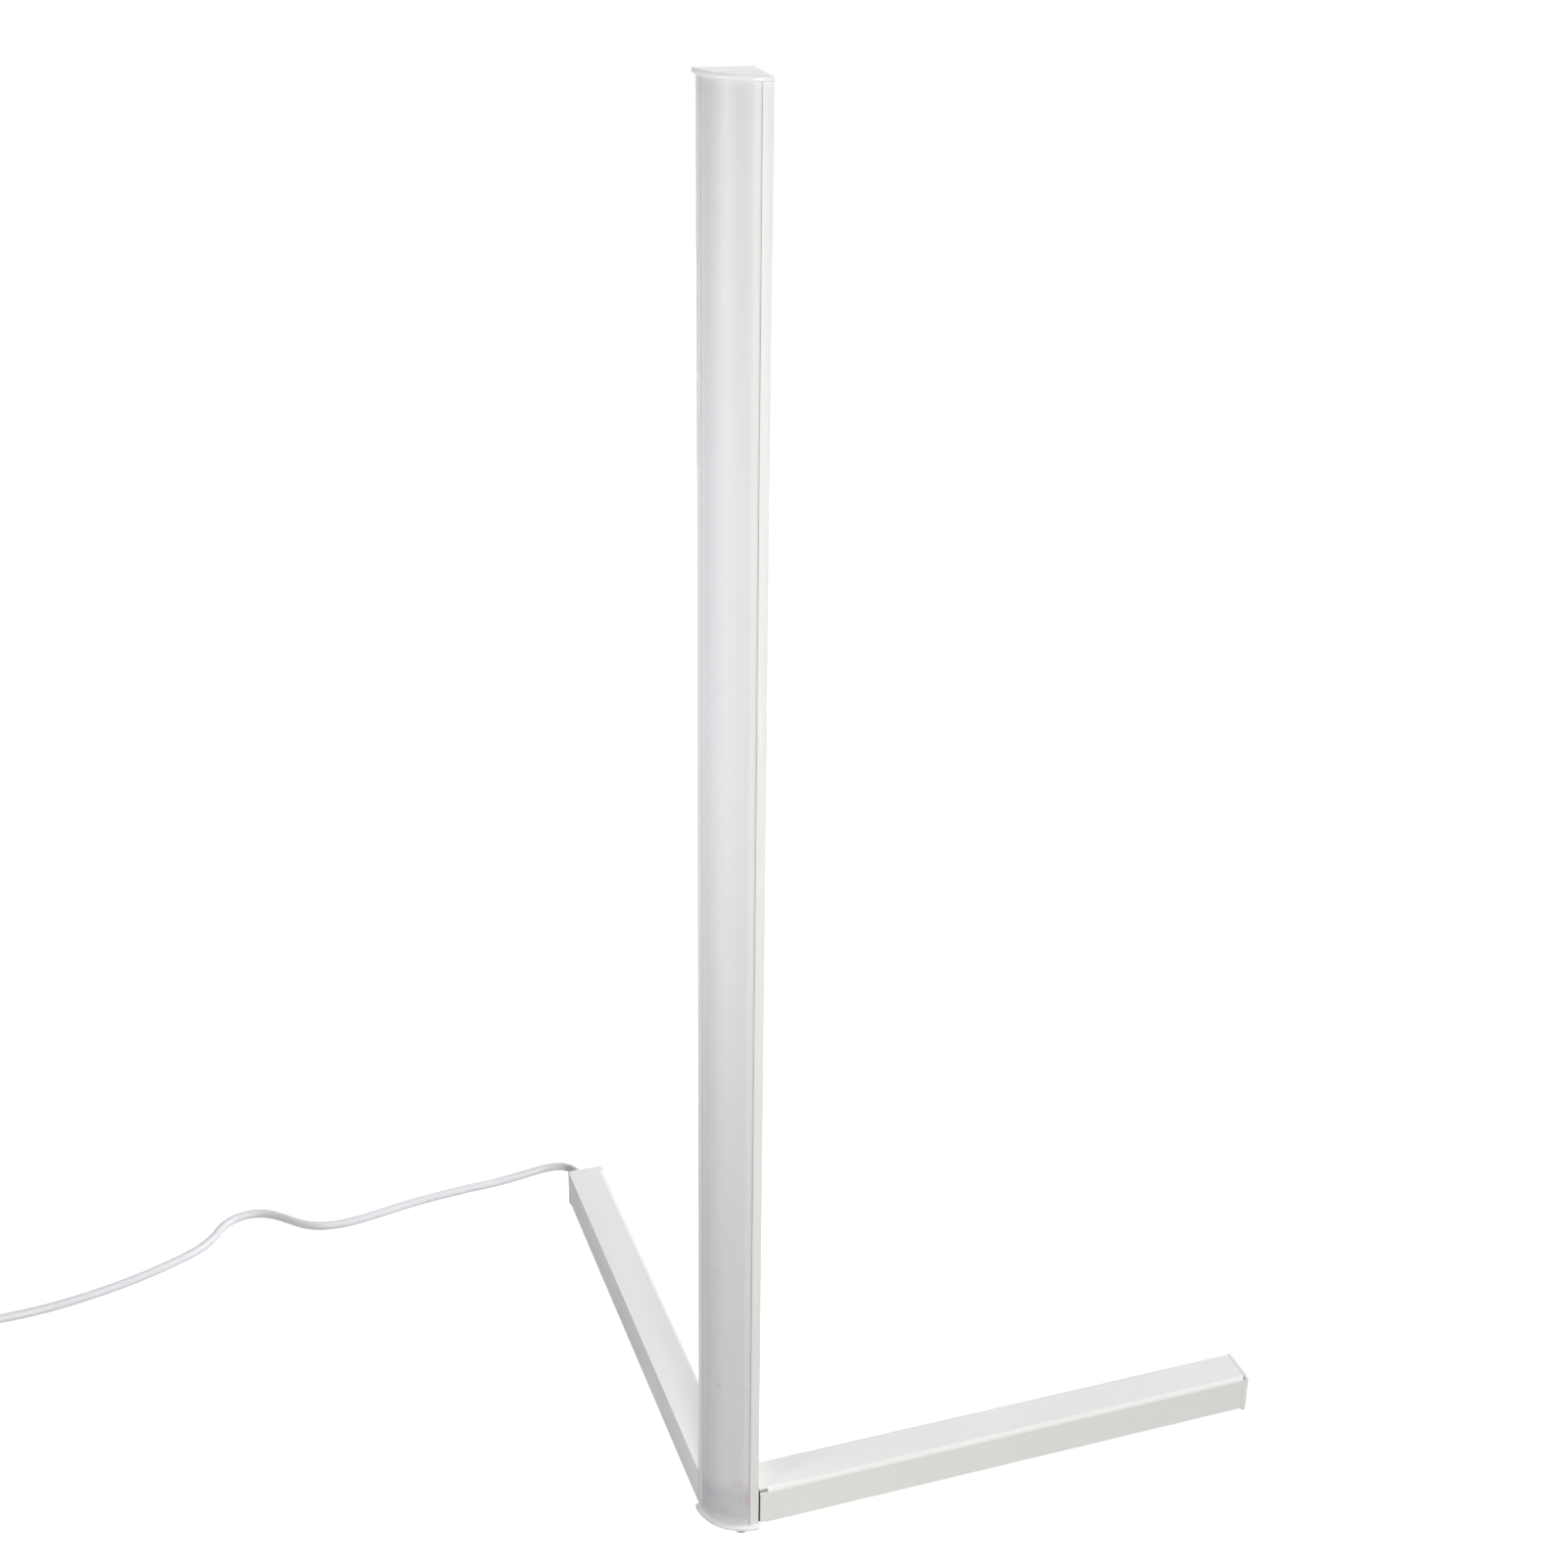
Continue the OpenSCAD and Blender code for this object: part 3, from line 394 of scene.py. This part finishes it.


# Extruded opal acrylic: a soft satin shell that shows the lamp's inside as faint colours, with
# painted light and shade across its curve and painted shade low down
def makeOpal(look):
    material, tree, shader, place = startMaterial("opalAcrylic", look["light"], look["dull"])
    x, y, z = addNode(tree, "ShaderNodeSeparateXYZ", {0: place}).outputs
    # Angle round the column's inner edge: 0 at the diffuser's left side, 90 at its right
    behindY = addNode(tree, "ShaderNodeMath", {0: y, 1: -1.0}, operation="MULTIPLY")
    behindX = addNode(tree, "ShaderNodeMath", {0: x, 1: -1.0}, operation="MULTIPLY")
    angle = addNode(tree, "ShaderNodeMath", {0: behindY, 1: behindX}, operation="ARCTAN2")
    clouds = addNode(tree, "ShaderNodeTexNoise",
                     {"Vector": place, "Scale": 1 / (look["cloud"] * mm), "Detail": 2.0})
    share = addNode(tree, "ShaderNodeMath", {0: clouds, 1: look["hazeShare"]},
                    operation="MULTIPLY")
    colour = addNode(tree, "ShaderNodeMix", {0: share, 1: opalPaintedShading(tree, angle, look),
                                             2: linear(look["haze"])}, data_type="RGBA")
    # Painted shade low down on the diffuser
    colour = addNode(tree, "ShaderNodeMix", {0: opalFootShade(tree, z, look), 1: colour,
                                             2: linear(look["foot"])}, data_type="RGBA")
    fromCut, cutShare = opalCuts(tree, z, look)
    for code, middle, height, wide, tall, strength in look["spots"]:
        if height is None:
            spot = opalSpot(tree, angle, fromCut, middle, wide, tall, strength)
            spot = addNode(tree, "ShaderNodeMath", {0: spot, 1: cutShare}, operation="MULTIPLY")
        else:
            above = addNode(tree, "ShaderNodeMath", {0: z, 1: height * mm}, operation="SUBTRACT")
            spot = opalSpot(tree, angle, above, middle, wide, tall, strength)
        colour = addNode(tree, "ShaderNodeMix", {0: spot, 1: colour, 2: linear(code)},
                         data_type="RGBA")
    tree.links.new(colour.outputs[2], shader.inputs["Base Color"])
    stretched = addNode(tree, "ShaderNodeMapping", {"Vector": place,
                                                    "Scale": (1, 1, 1 / look["lineStretch"])})
    lines = addNode(tree, "ShaderNodeTexNoise",
                    {"Vector": stretched, "Scale": 1 / (look["line"] * mm), "Detail": 2.0})
    relief = addNode(tree, "ShaderNodeBump", {"Height": lines,
                                              "Distance": look["lineDepth"] * mm})
    tree.links.new(relief.outputs[0], shader.inputs["Normal"])
    return material


boardLook = {
    "dull": 0.35,
    "mask": "#f2f1ea",
    "copper": "#c98a4b",
    "cutPitch": 100,          # three chips make one length
    "firstCut": 34.5,
    "padHalf": 1.6,
    "padStep": 2.5,
    "padGap": 1,
}


# White solder mask of the light strip, with four bare copper pads at each cutting line
def makeBoard(look):
    material, tree, shader, place = startMaterial("solderMask", look["mask"], look["dull"])
    turned = addNode(tree, "ShaderNodeMapping",
                     {"Vector": place, "Rotation": (0, 0, math.radians(-stripFacing))})
    across, z = addNode(tree, "ShaderNodeSeparateXYZ", {0: turned}).outputs[1:3]
    along = addNode(tree, "ShaderNodeMath", {0: z, 1: look["firstCut"] * mm},
                    operation="SUBTRACT")
    along = addNode(tree, "ShaderNodeMath", {0: along, 1: look["cutPitch"] * mm / 2},
                    operation="PINGPONG")
    onCut = addNode(tree, "ShaderNodeMath", {0: along, 1: look["padHalf"] * mm},
                    operation="LESS_THAN")
    aside = addNode(tree, "ShaderNodeMath", {0: across, 1: look["padStep"] * mm / 2},
                    operation="PINGPONG")
    between = addNode(tree, "ShaderNodeMath", {0: aside, 1: look["padGap"] * mm / 2},
                      operation="GREATER_THAN")
    onPad = addNode(tree, "ShaderNodeMath", {0: onCut, 1: between}, operation="MULTIPLY")
    colour = addNode(tree, "ShaderNodeMix", {0: onPad, 1: linear(look["mask"]),
                                             2: linear(look["copper"])}, data_type="RGBA")
    tree.links.new(colour.outputs[2], shader.inputs["Base Color"])
    tree.links.new(onPad.outputs[0], shader.inputs["Metallic"])
    return material


nodeFinishes = {
    "column_profile": powderCoat,
    "diffuser": makeOpal(opalLook),
    "top_cap": mouldedWhite,
    "bottom_cap": mouldedWhite,
    "column_pad": padRubber,
    "cap_screws": screwZinc,
    "led_strip": makeBoard(boardLook),
    "remote_eye": blackPlastic,
    "controller": housingPlastic,
    "driver": housingPlastic,
    "inner_mains_lead": cordJacket,
    "plug_pins": pinNickel,
    "plug_sleeves": sleeveNylon,
    **wireFinishes,
}
armFinishes = {
    "arm_profile": powderCoat,
    "arm_cover": housingPlastic,
    "arm_spacer": blackRubber,
    "arm_end_plate": mouldedWhite,
    "joint_block": barSteel,
    "joint_bolts": screwZinc,
    "ballast": barSteel,
    "feet": footRubber,
    "foot_screws": screwZinc,
}
for side in ("right", "left"):
    nodeFinishes.update({side + "_" + name: finish for name, finish in armFinishes.items()})
for name, finish in nodeFinishes.items():
    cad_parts[name].material_slots[0].material = finish
print("materials made")


# Rows: a small part repeated in even steps along a line, made with Geometry Nodes

def makeRowTree():
    tree = bpy.data.node_groups.new("evenRow", "GeometryNodeTree")
    for name, kind in (("Part", "Object"), ("Count", "Int"), ("First", "Vector"),
                       ("Step", "Vector"), ("First Size", "Float"), ("Last Size", "Float"),
                       ("Finish", "Material")):
        tree.interface.new_socket(name, in_out="INPUT", socket_type="NodeSocket" + kind)
    tree.interface.new_socket("Geometry", in_out="OUTPUT", socket_type="NodeSocketGeometry")
    given = addNode(tree, "NodeGroupInput").outputs
    line = addNode(tree, "GeometryNodeMeshLine",
                   {"Count": given["Count"], "Start Location": given["First"],
                    "Offset": given["Step"]}, mode="OFFSET")
    last = addNode(tree, "ShaderNodeMath", {0: given["Count"], 1: 1.0}, operation="SUBTRACT")
    size = addNode(tree, "ShaderNodeMapRange",
                   {"Value": addNode(tree, "GeometryNodeInputIndex"), "From Max": last,
                    "To Min": given["First Size"], "To Max": given["Last Size"]})
    part = addNode(tree, "GeometryNodeObjectInfo", {"Object": given["Part"]})
    row = addNode(tree, "GeometryNodeInstanceOnPoints",
                  {"Points": line, "Instance": part.outputs["Geometry"], "Scale": size})
    real = addNode(tree, "GeometryNodeRealizeInstances", {"Geometry": row})
    painted = addNode(tree, "GeometryNodeSetMaterial", {"Geometry": real,
                                                        "Material": given["Finish"]})
    addNode(tree, "NodeGroupOutput", {"Geometry": painted})
    return tree


rowTree = makeRowTree()


def makeRow(name, part, finish, slotName, replaced=(), **values):
    # part: points and faces of one piece of the row, drawn round the origin
    mesh = bpy.data.meshes.new(name + "Part")
    mesh.from_pydata(part[0], [], part[1])
    single = bpy.data.objects.new(name + "Part", mesh)
    holder = bpy.data.objects.new(name, bpy.data.meshes.new(name + "Start"))
    for item in (single, holder):
        bpy.context.scene.collection.objects.link(item)
    modifier = holder.modifiers.new("row", "NODES")
    modifier.node_group = rowTree
    values.update({"Part": single, "Finish": finish})
    for socket in rowTree.interface.items_tree:
        if socket.in_out == "INPUT":
            value = values[socket.name.replace(" ", "_")]
            isVector = socket.socket_type == "NodeSocketVector"
            modifier[socket.identifier] = [float(v) for v in value] if isVector else value
    seen = holder.evaluated_get(bpy.context.evaluated_depsgraph_get())
    result = bpy.data.meshes.new_from_object(seen)
    for item in (single, holder):
        bpy.data.objects.remove(item)
    result.name = name
    return placePiece(name, result, replaced)


ribShape = {
    "sides": 40,
    "crown": 0.5,             # the flat of its top, as a share of its width
    "shoulder": 0.375,        # how far its edges are below that, as a share of its height
    "sunk": 1.5,              # how far down it goes: the last third is inside the core
}


def ribPart(radius, wide, deep, axis):
    # A barrel-shaped hoop about the axis, with its top at the radius
    edge, crown = wide / 2, wide / 2 * ribShape["crown"]
    bottom, shoulder = radius - ribShape["sunk"] * deep, radius - ribShape["shoulder"] * deep
    outline = [(-edge, bottom), (-edge, shoulder), (-crown, radius), (crown, radius),
               (edge, shoulder), (edge, bottom)]
    return joinRings(revolveRings(Vector(), axis, outline, ribShape["sides"]))


# The mains cord: over the floor, round the coil and down to the plug, as one piece

cordSizes = {
    "diameter": 7.2,
    "sides": 20,
    "step": 3,
    "coilInner": 27,
    "coilPitch": 7.8,
    "coilTurns": 5.25,
    "coilLead": 8,
    "ringsPerTurn": 60,
}
cordRoute = [
    (-20, 418, 15), (-20, 423, 15), (-21.6, 431.4, 14.7), (-25.5, 438.8, 13.9),
    (-31.4, 444.9, 12.8), (-38.6, 449, 11.4), (-47, 451.2, 9.8), (-57, 452, 8),
    (-68, 452.4, 6.2), (-81, 452.3, 4.6), (-95, 451.8, 3.7), (-113, 451, 3.6),
    (-132, 449, 3.6), (-150, 447, 3.6), (-168, 444, 3.6), (-186, 440, 3.6),
    (-202, 436.5, 3.6), (-217, 434, 3.6), (-232, 433, 3.6), (-246, 435, 3.6),
    (-258, 441, 3.6), (-268, 450, 3.6), (-278.5, 460.5, 3.6), (-290, 468.5, 3.6),
    (-303.5, 471, 3.6), (-317, 467, 3.6), (-327, 458, 3.6), (-334.5, 447, 3.6),
    (-344, 437, 3.6), (-356, 428.5, 3.6), (-371, 421, 3.6), (-389, 413, 3.6),
    (-408, 406, 3.6), (-428, 400, 3.6), (-449, 395, 3.6), (-471, 391, 3.6),
    (-494, 389, 3.6), (-517, 388, 4), (-540, 388, 4.5), (-562, 388, 4.5),
]
tailSteps = [(0, -9, 0), (0, -20, -0.8), (0, -32, -2.7), (0, -44, -4.6), (0, -54, -5.4),
             (0, -62, -5.4)]


def coilRadius(turn, sizes):
    return sizes["coilInner"] + sizes["coilPitch"] * abs(turn - sizes["coilTurns"] / 2)


def coilCentre(sizes):
    x, y, z = cordRoute[-1]
    return Vector((x - sizes["coilLead"], y - coilRadius(0, sizes), z))


def coilPoint(turn, sizes):
    # Two layers: spiral in, climb over half a turn, spiral out
    angle = math.radians(90 + 360 * turn)
    radius = coilRadius(turn, sizes)
    climb = min(max(2 * (turn - sizes["coilTurns"] / 2) + 0.5, 0), 1)
    rise = sizes["coilPitch"] * climb * climb * (3 - 2 * climb)
    return coilCentre(sizes) + Vector((radius * math.cos(angle), radius * math.sin(angle), rise))


def cordPath(sizes):
    floorPart = smoothPath([Vector(p) for p in cordRoute], sizes["step"])
    steps = round(sizes["coilTurns"] * sizes["ringsPerTurn"])
    coil = [coilPoint(i / sizes["ringsPerTurn"], sizes) for i in range(steps + 1)]
    tailStart = coil[-1] - Vector((0, sizes["coilLead"], 0))
    tail = smoothPath([tailStart] + [tailStart + Vector(s) for s in tailSteps], sizes["step"])
    return [p * mm for p in floorPart + coil + tail]


mainsPath = cordPath(cordSizes)
mainsRings = sweepRings(mainsPath, roundSection(cordSizes["diameter"] * mm / 2,
                                                cordSizes["sides"]))
mainsCord = makePiece("mainsCord", *joinRings(mainsRings), cordJacket, "cord_white",
                      ("power_cord", "cord_coil", "cord_tail"))


# Strain relief: a collar on the end plate and a ribbed tail that thins towards the cord

reliefSizes = {
    "sides": 48,
    "flange": 6,              # radii behind the plate, in its hole and in front of it
    "neck": 5,
    "collar": 6.2,
    "play": 0.1,              # on both sides of the plate
    "edge": 0.5,
    "collarEnd": 1.9,         # from the plate's front
    "tailStart": 2,
    "tailRoot": 5.7,          # radii over the ribs
    "tailTip": 4.6,
    "ribs": 4,
    "ribWide": 1.9,
    "ribDeep": 0.6,
    "ribsEnd": 2,             # from the tip, as the next three
    "ringFoot": 1.6,
    "ringTop": 1.3,
    "tipEdge": 0.4,
}


def makeRelief(sizes):
    # Measured along Y from its back end: the plate's inner and outer face, and the tip
    tip = Vector(cordRoute[0])
    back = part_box("cord_gland")[0].y / mm
    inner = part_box("left_arm_profile")[1].y / mm - back
    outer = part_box("left_arm_end_plate")[1].y / mm - back
    length = tip.y - back
    flange, neck, collar = sizes["flange"], sizes["neck"], sizes["collar"]
    tailRoot, tailTip, ribDeep = sizes["tailRoot"], sizes["tailTip"], sizes["ribDeep"]
    edge, play, tipEdge = sizes["edge"], sizes["play"], sizes["tipEdge"]
    collarEnd, tailStart = outer + sizes["collarEnd"], outer + sizes["tailStart"]
    outline = [(0, flange - edge), (edge, flange), (inner - play, flange), (inner - play, neck),
               (outer + play, neck), (outer + play, collar), (collarEnd - edge, collar),
               (collarEnd, collar - edge), (tailStart, tailRoot - ribDeep),
               (length - sizes["ringFoot"], tailTip - ribDeep),
               (length - sizes["ringTop"], tailTip), (length - tipEdge, tailTip),
               (length, tailTip - tipEdge)]
    along = Vector((0, 1, 0))
    start = tip - along * length
    rings = revolveRings(start, along, outline, sizes["sides"])
    body = makePiece("strainRelief", *joinRings(rings), plugPvc, "cord_white", ("cord_gland",))
    pitch = (length - sizes["ribsEnd"] - tailStart) / sizes["ribs"]
    first = start + along * (tailStart + pitch / 2)
    ribs = makeRow("reliefRibs", ribPart(tailRoot, sizes["ribWide"], ribDeep, along),
                   plugPvc, "cord_white", Count=sizes["ribs"], First=first * mm,
                   Step=along * pitch * mm, First_Size=1.0, Last_Size=tailTip / tailRoot)
    return [body, ribs]


reliefPieces = makeRelief(reliefSizes)


# Plug: a flat two-pin plug, moulded in one with its ribbed relief

plugSizes = {
    "neck": 26,
    "neckStart": 4.6,         # radii over the ribs
    "neckEnd": 6.6,
    "edge": 0.4,
    "ringTop": 0.9,           # from the cord's end of the neck, as the next two
    "ringFoot": 1.1,
    "firstRib": 3.2,
    "ribs": 6,
    "ribPitch": 4,
    "ribWide": 2,
    "ribDeep": 1,
    "blend": 1.5,             # the last of the neck, which widens into the plug
    "points": 64,
    # Along the plug from the cord: half width, half thickness, squareness of the section
    "stations": [
        (26, 6.6, 6.1, 2.2), (30, 7.3, 6.3, 2.4), (34, 9.8, 6.5, 2.6), (38, 13.6, 6.7, 3),
        (41, 15.8, 6.85, 3.4), (44, 17.1, 6.85, 3.8), (47, 17.5, 6.85, 4), (50, 17.5, 6.85, 4),
        (54, 16.6, 6.7, 4), (58, 15.4, 6.6, 4), (62, 14.3, 6.5, 4), (64.5, 13.5, 6.3, 4),
        (65.6, 12.9, 5.8, 4), (66, 12.2, 5.1, 4),
    ],
}


def neckStations(sizes, growth):
    # The round neck between the ribs, with a ring at the cord's end, as stations of the plug
    edge, radius = sizes["edge"], sizes["neckStart"]
    core = radius - sizes["ribDeep"]
    last = sizes["neck"] - sizes["blend"]
    outline = [(0, radius - edge), (edge, radius), (sizes["ringTop"], radius),
               (sizes["ringFoot"], core), (last, core + growth * last)]
    return [(out, r, r, 2) for out, r in outline]


def makePlug(tip, sizes):
    growth = (sizes["neckEnd"] - sizes["neckStart"]) / sizes["neck"]
    stations = neckStations(sizes, growth) + sizes["stations"]
    rings = []
    for out, halfWidth, halfThickness, squareness in stations:
        section = squaredSection(halfWidth, halfThickness, squareness, sizes["points"])
        rings.append([(tip + Vector((x, -out, z))) * mm for x, z in section])
    shell = makePiece("plugShell", *joinRings(rings), plugPvc, "cord_white", ("plug_body",))
    along = Vector((0, -1, 0))
    radius = sizes["neckStart"] + growth * sizes["firstRib"]
    lastRadius = radius + growth * sizes["ribPitch"] * (sizes["ribs"] - 1)
    ribs = makeRow("plugRibs", ribPart(radius, sizes["ribWide"], sizes["ribDeep"], along),
                   plugPvc, "cord_white", Count=sizes["ribs"],
                   First=(tip + along * sizes["firstRib"]) * mm,
                   Step=along * sizes["ribPitch"] * mm, First_Size=1.0,
                   Last_Size=lastRadius / radius)
    return [shell, ribs]


plugPieces = makePlug(mainsPath[-1] / mm, plugSizes)


# Tie: a hook-and-loop strap round the coil

tieSizes = {
    "width": 10,
    "thickness": 0.8,
    "corner": 3.4,
    "cornerPoints": 8,
    "edge": 0.25,
}


def tieOutline(low, high, sizes):
    # A rounded box in X and Z, half a thickness inside the strap's outer face
    inset = sizes["thickness"] / 2
    r = sizes["corner"]
    left, right = low.x + inset + r, high.x - inset - r
    bottom, top = low.z + inset + r, high.z - inset - r
    corners = [(right, bottom, -90), (right, top, 0), (left, top, 90), (left, bottom, 180)]
    outline = []
    for x, z, start in corners:
        for k in range(sizes["cornerPoints"] + 1):
            angle = math.radians(start + 90 * k / sizes["cornerPoints"])
            outline.append((x + r * math.cos(angle), z + r * math.sin(angle)))
    return outline


def makeTie(sizes):
    low, high = (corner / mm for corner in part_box("cord_tie"))
    middle = (low.y + high.y) / 2
    outline = tieOutline(low, high, sizes)
    half, thick, edge = sizes["width"] / 2, sizes["thickness"] / 2, sizes["edge"]
    section = [(-half, thick - edge), (-half + edge, thick), (half - edge, thick),
               (half, thick - edge), (half, edge - thick), (half - edge, -thick),
               (edge - half, -thick), (-half, edge - thick)]
    rings = []
    for i, (x, z) in enumerate(outline):
        before, after = outline[i - 1], outline[(i + 1) % len(outline)]
        along = Vector((after[0] - before[0], 0, after[1] - before[1])).normalized()
        outward = Vector((along.z, 0, -along.x))
        rings.append([(Vector((x, middle + across, z)) + outward * out) * mm
                      for across, out in section])
    return makePiece("cordStrap", *joinRings(rings, closed=True), strapPile, "dark_sleeve",
                     ("cord_tie",))


cordStrap = makeTie(tieSizes)
print("cord made", round(pathLength(mainsPath), 3))


# Light strip: chips with a domed phosphor fill, and tinned resistors between them

chipSizes = {
    "pitch": 33.33,
    "side": 5,
    "frameSides": 24,
    "fillSides": 16,
    # Out from the board: half width, half height, squareness of the section
    "frame": [
        (0, 2.5, 2.5, 16), (1.4, 2.5, 2.5, 16), (1.6, 2.36, 2.36, 14), (1.6, 2.05, 2.05, 2),
        (1.25, 1.75, 1.75, 2),
    ],
    "fill": [
        (1.2, 1.78, 1.78, 2), (1.36, 1.45, 1.45, 2), (1.47, 0.8, 0.8, 2), (1.5, 0.2, 0.2, 2),
    ],
}
resistorSizes = {
    "half": 0.8,              # half its height along the strip
    "endAside": 1.34,         # from its middle to the middle of a tinned end
    "sides": 16,
    "body": [(0, 1.15, 0.78, 24), (0.5, 1.15, 0.78, 24), (0.56, 1.1, 0.72, 24)],
    "end": [(0, 0.26, 0.8, 24), (0.55, 0.26, 0.8, 24), (0.6, 0.2, 0.74, 24)],
}


def raisedPart(stations, sides, turn, aside=0):
    # Sections stacked out from the board, turned to face the room's corner
    rings = []
    for out, halfWidth, halfHeight, squareness in stations:
        section = squaredSection(halfWidth, halfHeight, squareness, sides)
        rings.append([turn @ Vector((out, aside + x, z)) * mm for x, z in section])
    return joinRings(rings)


def makeStripRows(chip, resistor):
    turn = Matrix.Rotation(math.radians(stripFacing), 3, "Z")
    low, high = (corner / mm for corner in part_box("led_chips"))
    count = round((high.z - low.z - chip["side"]) / chip["pitch"]) + 1
    # The chips are turned by 45 degrees in their box, so its upper X gives the board's face
    face = chip["side"] / 2 - math.sqrt(2) * high.x
    settings = {"Count": count, "Step": (0, 0, chip["pitch"] * mm), "First_Size": 1.0,
                "Last_Size": 1.0}
    place = turn @ Vector((face, 0, low.z + chip["side"] / 2)) * mm
    makeRow("chipFrames", raisedPart(chip["frame"], chip["frameSides"], turn), chipNylon, "chip",
            ("led_chips",), First=place, **settings)
    makeRow("chipFills", raisedPart(chip["fill"], chip["fillSides"], turn), phosphorGel, "chip",
            First=place, **settings)
    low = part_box("strip_resistors")[0] / mm
    place = turn @ Vector((face, 0, low.z + resistor["half"])) * mm
    sides, aside = resistor["sides"], resistor["endAside"]
    makeRow("resistorBodies", raisedPart(resistor["body"], sides, turn), blackPlastic,
            "black_plastic", ("strip_resistors",), First=place, **settings)
    makeRow("resistorEndsLeft", raisedPart(resistor["end"], sides, turn, -aside), tinEnds,
            "screw_steel", First=place, **settings)
    makeRow("resistorEndsRight", raisedPart(resistor["end"], sides, turn, aside), tinEnds,
            "screw_steel", First=place, **settings)


makeStripRows(chipSizes, resistorSizes)
print("light strip made")


# Stage: white to the camera and in reflections, and an ordinary pale floor to all other light

stageSizes = {
    "floor": 8,
    "floorColour": "#a6a6a6",
    "floorDull": 0.9,
    "floorGlow": 0.88,    # the camera sees this much white, and the light on the floor tops it up
    "floorLit": 0.5,
    "glowFrom": 0.7,      # from here to there it turns to pure white, so that no edge shows
    "glowTo": 3.0,
    "ambient": 0.1,
}
studioLights = {
    # name: place, aim, size, power, spread in degrees, colour
    "front": ((-0.35, -1.9, 0.9), (0, 0, 0.6), (0.4, 1.0), 21, 180, "#fffcf6"),
    "leftUpper": ((-1.3, -0.45, 0.95), (0, 0, 0.87), (0.25, 0.7), 0.63, 60, "#fbfbff"),
    "leftMid": ((-1.3, -0.45, 0.75), (0, 0, 0.6), (0.25, 0.5), 0.18, 35, "#fbfbff"),
    "right": ((2.2, -0.3, 1.6), (0, 0, 0.6), (1.0, 1.4), 12, 180, "#fafcff"),
    "rightFar": ((3.2, -0.4, 2.2), (0, 0, 0.5), (1.2, 1.2), 70, 180, "#fafcff"),
    "top": ((-0.6, -0.1, 3.6), (0, 0, 0), (0.5, 0.5), 16, 180, "#fbfbff"),
    "overLeftArm": ((0.15, 0.9, 1.3), (-0.02, 0.28, 0), (0.4, 0.6), 0.08, 40, "#fbfbff"),
    "capGlint": ((-1.3, -0.66, 1.4), (-0.02, -0.03, 0), (0.2, 0.2), 0.022, 14, "#ffffff"),
    "back": ((0.7, 2.4, 0.7), (0, 0, 0.5), (1.0, 1.0), 12, 180, "#ffffff"),
}


def shownRays(tree):
    # Rays that should meet the white background: the camera's, and those off gloss and glass
    rays = addNode(tree, "ShaderNodeLightPath").outputs
    direct = addNode(tree, "ShaderNodeMath", {0: rays["Is Camera Ray"], 1: rays["Is Glossy Ray"]},
                     operation="MAXIMUM")
    return addNode(tree, "ShaderNodeMath", {0: direct, 1: rays["Is Transmission Ray"]},
                   operation="MAXIMUM")


def makeFloor(sizes):
    half = sizes["floor"] / 2
    mesh = bpy.data.meshes.new("floor")
    mesh.from_pydata([(-half, -half, 0), (half, -half, 0), (half, half, 0), (-half, half, 0)], [],
                     [(0, 1, 2, 3)])
    floor = bpy.data.objects.new("floor", mesh)
    bpy.context.scene.collection.objects.link(floor)
    material, tree, plain, place = startMaterial("paleFloor", sizes["floorColour"],
                                                 sizes["floorDull"])
    shaded = addNode(tree, "ShaderNodeBsdfDiffuse", {"Color": (*[sizes["floorLit"]] * 3, 1)})
    away = addNode(tree, "ShaderNodeVectorMath", {0: place}, operation="LENGTH")
    strength = addNode(tree, "ShaderNodeMapRange",
                       {"Value": away, "From Min": sizes["glowFrom"], "From Max": sizes["glowTo"],
                        "To Min": sizes["floorGlow"], "To Max": 1.0})
    glow = addNode(tree, "ShaderNodeEmission", {"Color": (1, 1, 1, 1), "Strength": strength})
    white = addNode(tree, "ShaderNodeAddShader", {0: shaded, 1: glow})
    mixed = addNode(tree, "ShaderNodeMixShader", {0: shownRays(tree), 1: plain, 2: white})
    tree.links.new(mixed.outputs[0], tree.nodes["Material Output"].inputs["Surface"])
    mesh.materials.append(material)


def makeWorld(ambient):
    world = bpy.data.worlds.new("studio")
    world.use_nodes = True
    tree = world.node_tree
    background = tree.nodes["Background"]
    background.inputs["Color"].default_value = (1, 1, 1, 1)
    strength = addNode(tree, "ShaderNodeMapRange",
                       {"Value": shownRays(tree), "To Min": ambient, "To Max": 1.0})
    tree.links.new(strength.outputs[0], background.inputs["Strength"])
    bpy.context.scene.world = world


def makeLight(name, place, aim, size, power, spread, colour):
    data = bpy.data.lights.new(name, "AREA")
    data.shape = "RECTANGLE"
    data.size, data.size_y = size
    data.energy = power
    data.spread = math.radians(spread)
    data.color = linear(colour)[:3]
    light = bpy.data.objects.new(name, data)
    turn = (Vector(aim) - Vector(place)).to_track_quat("-Z", "Y").to_matrix().to_4x4()
    light.matrix_world = Matrix.Translation(place) @ turn
    bpy.context.scene.collection.objects.link(light)


makeFloor(stageSizes)
makeWorld(stageSizes["ambient"])
for name, settings in studioLights.items():
    makeLight(name, *settings)
bpy.context.scene.view_settings.view_transform = "Standard"
print("stage made")
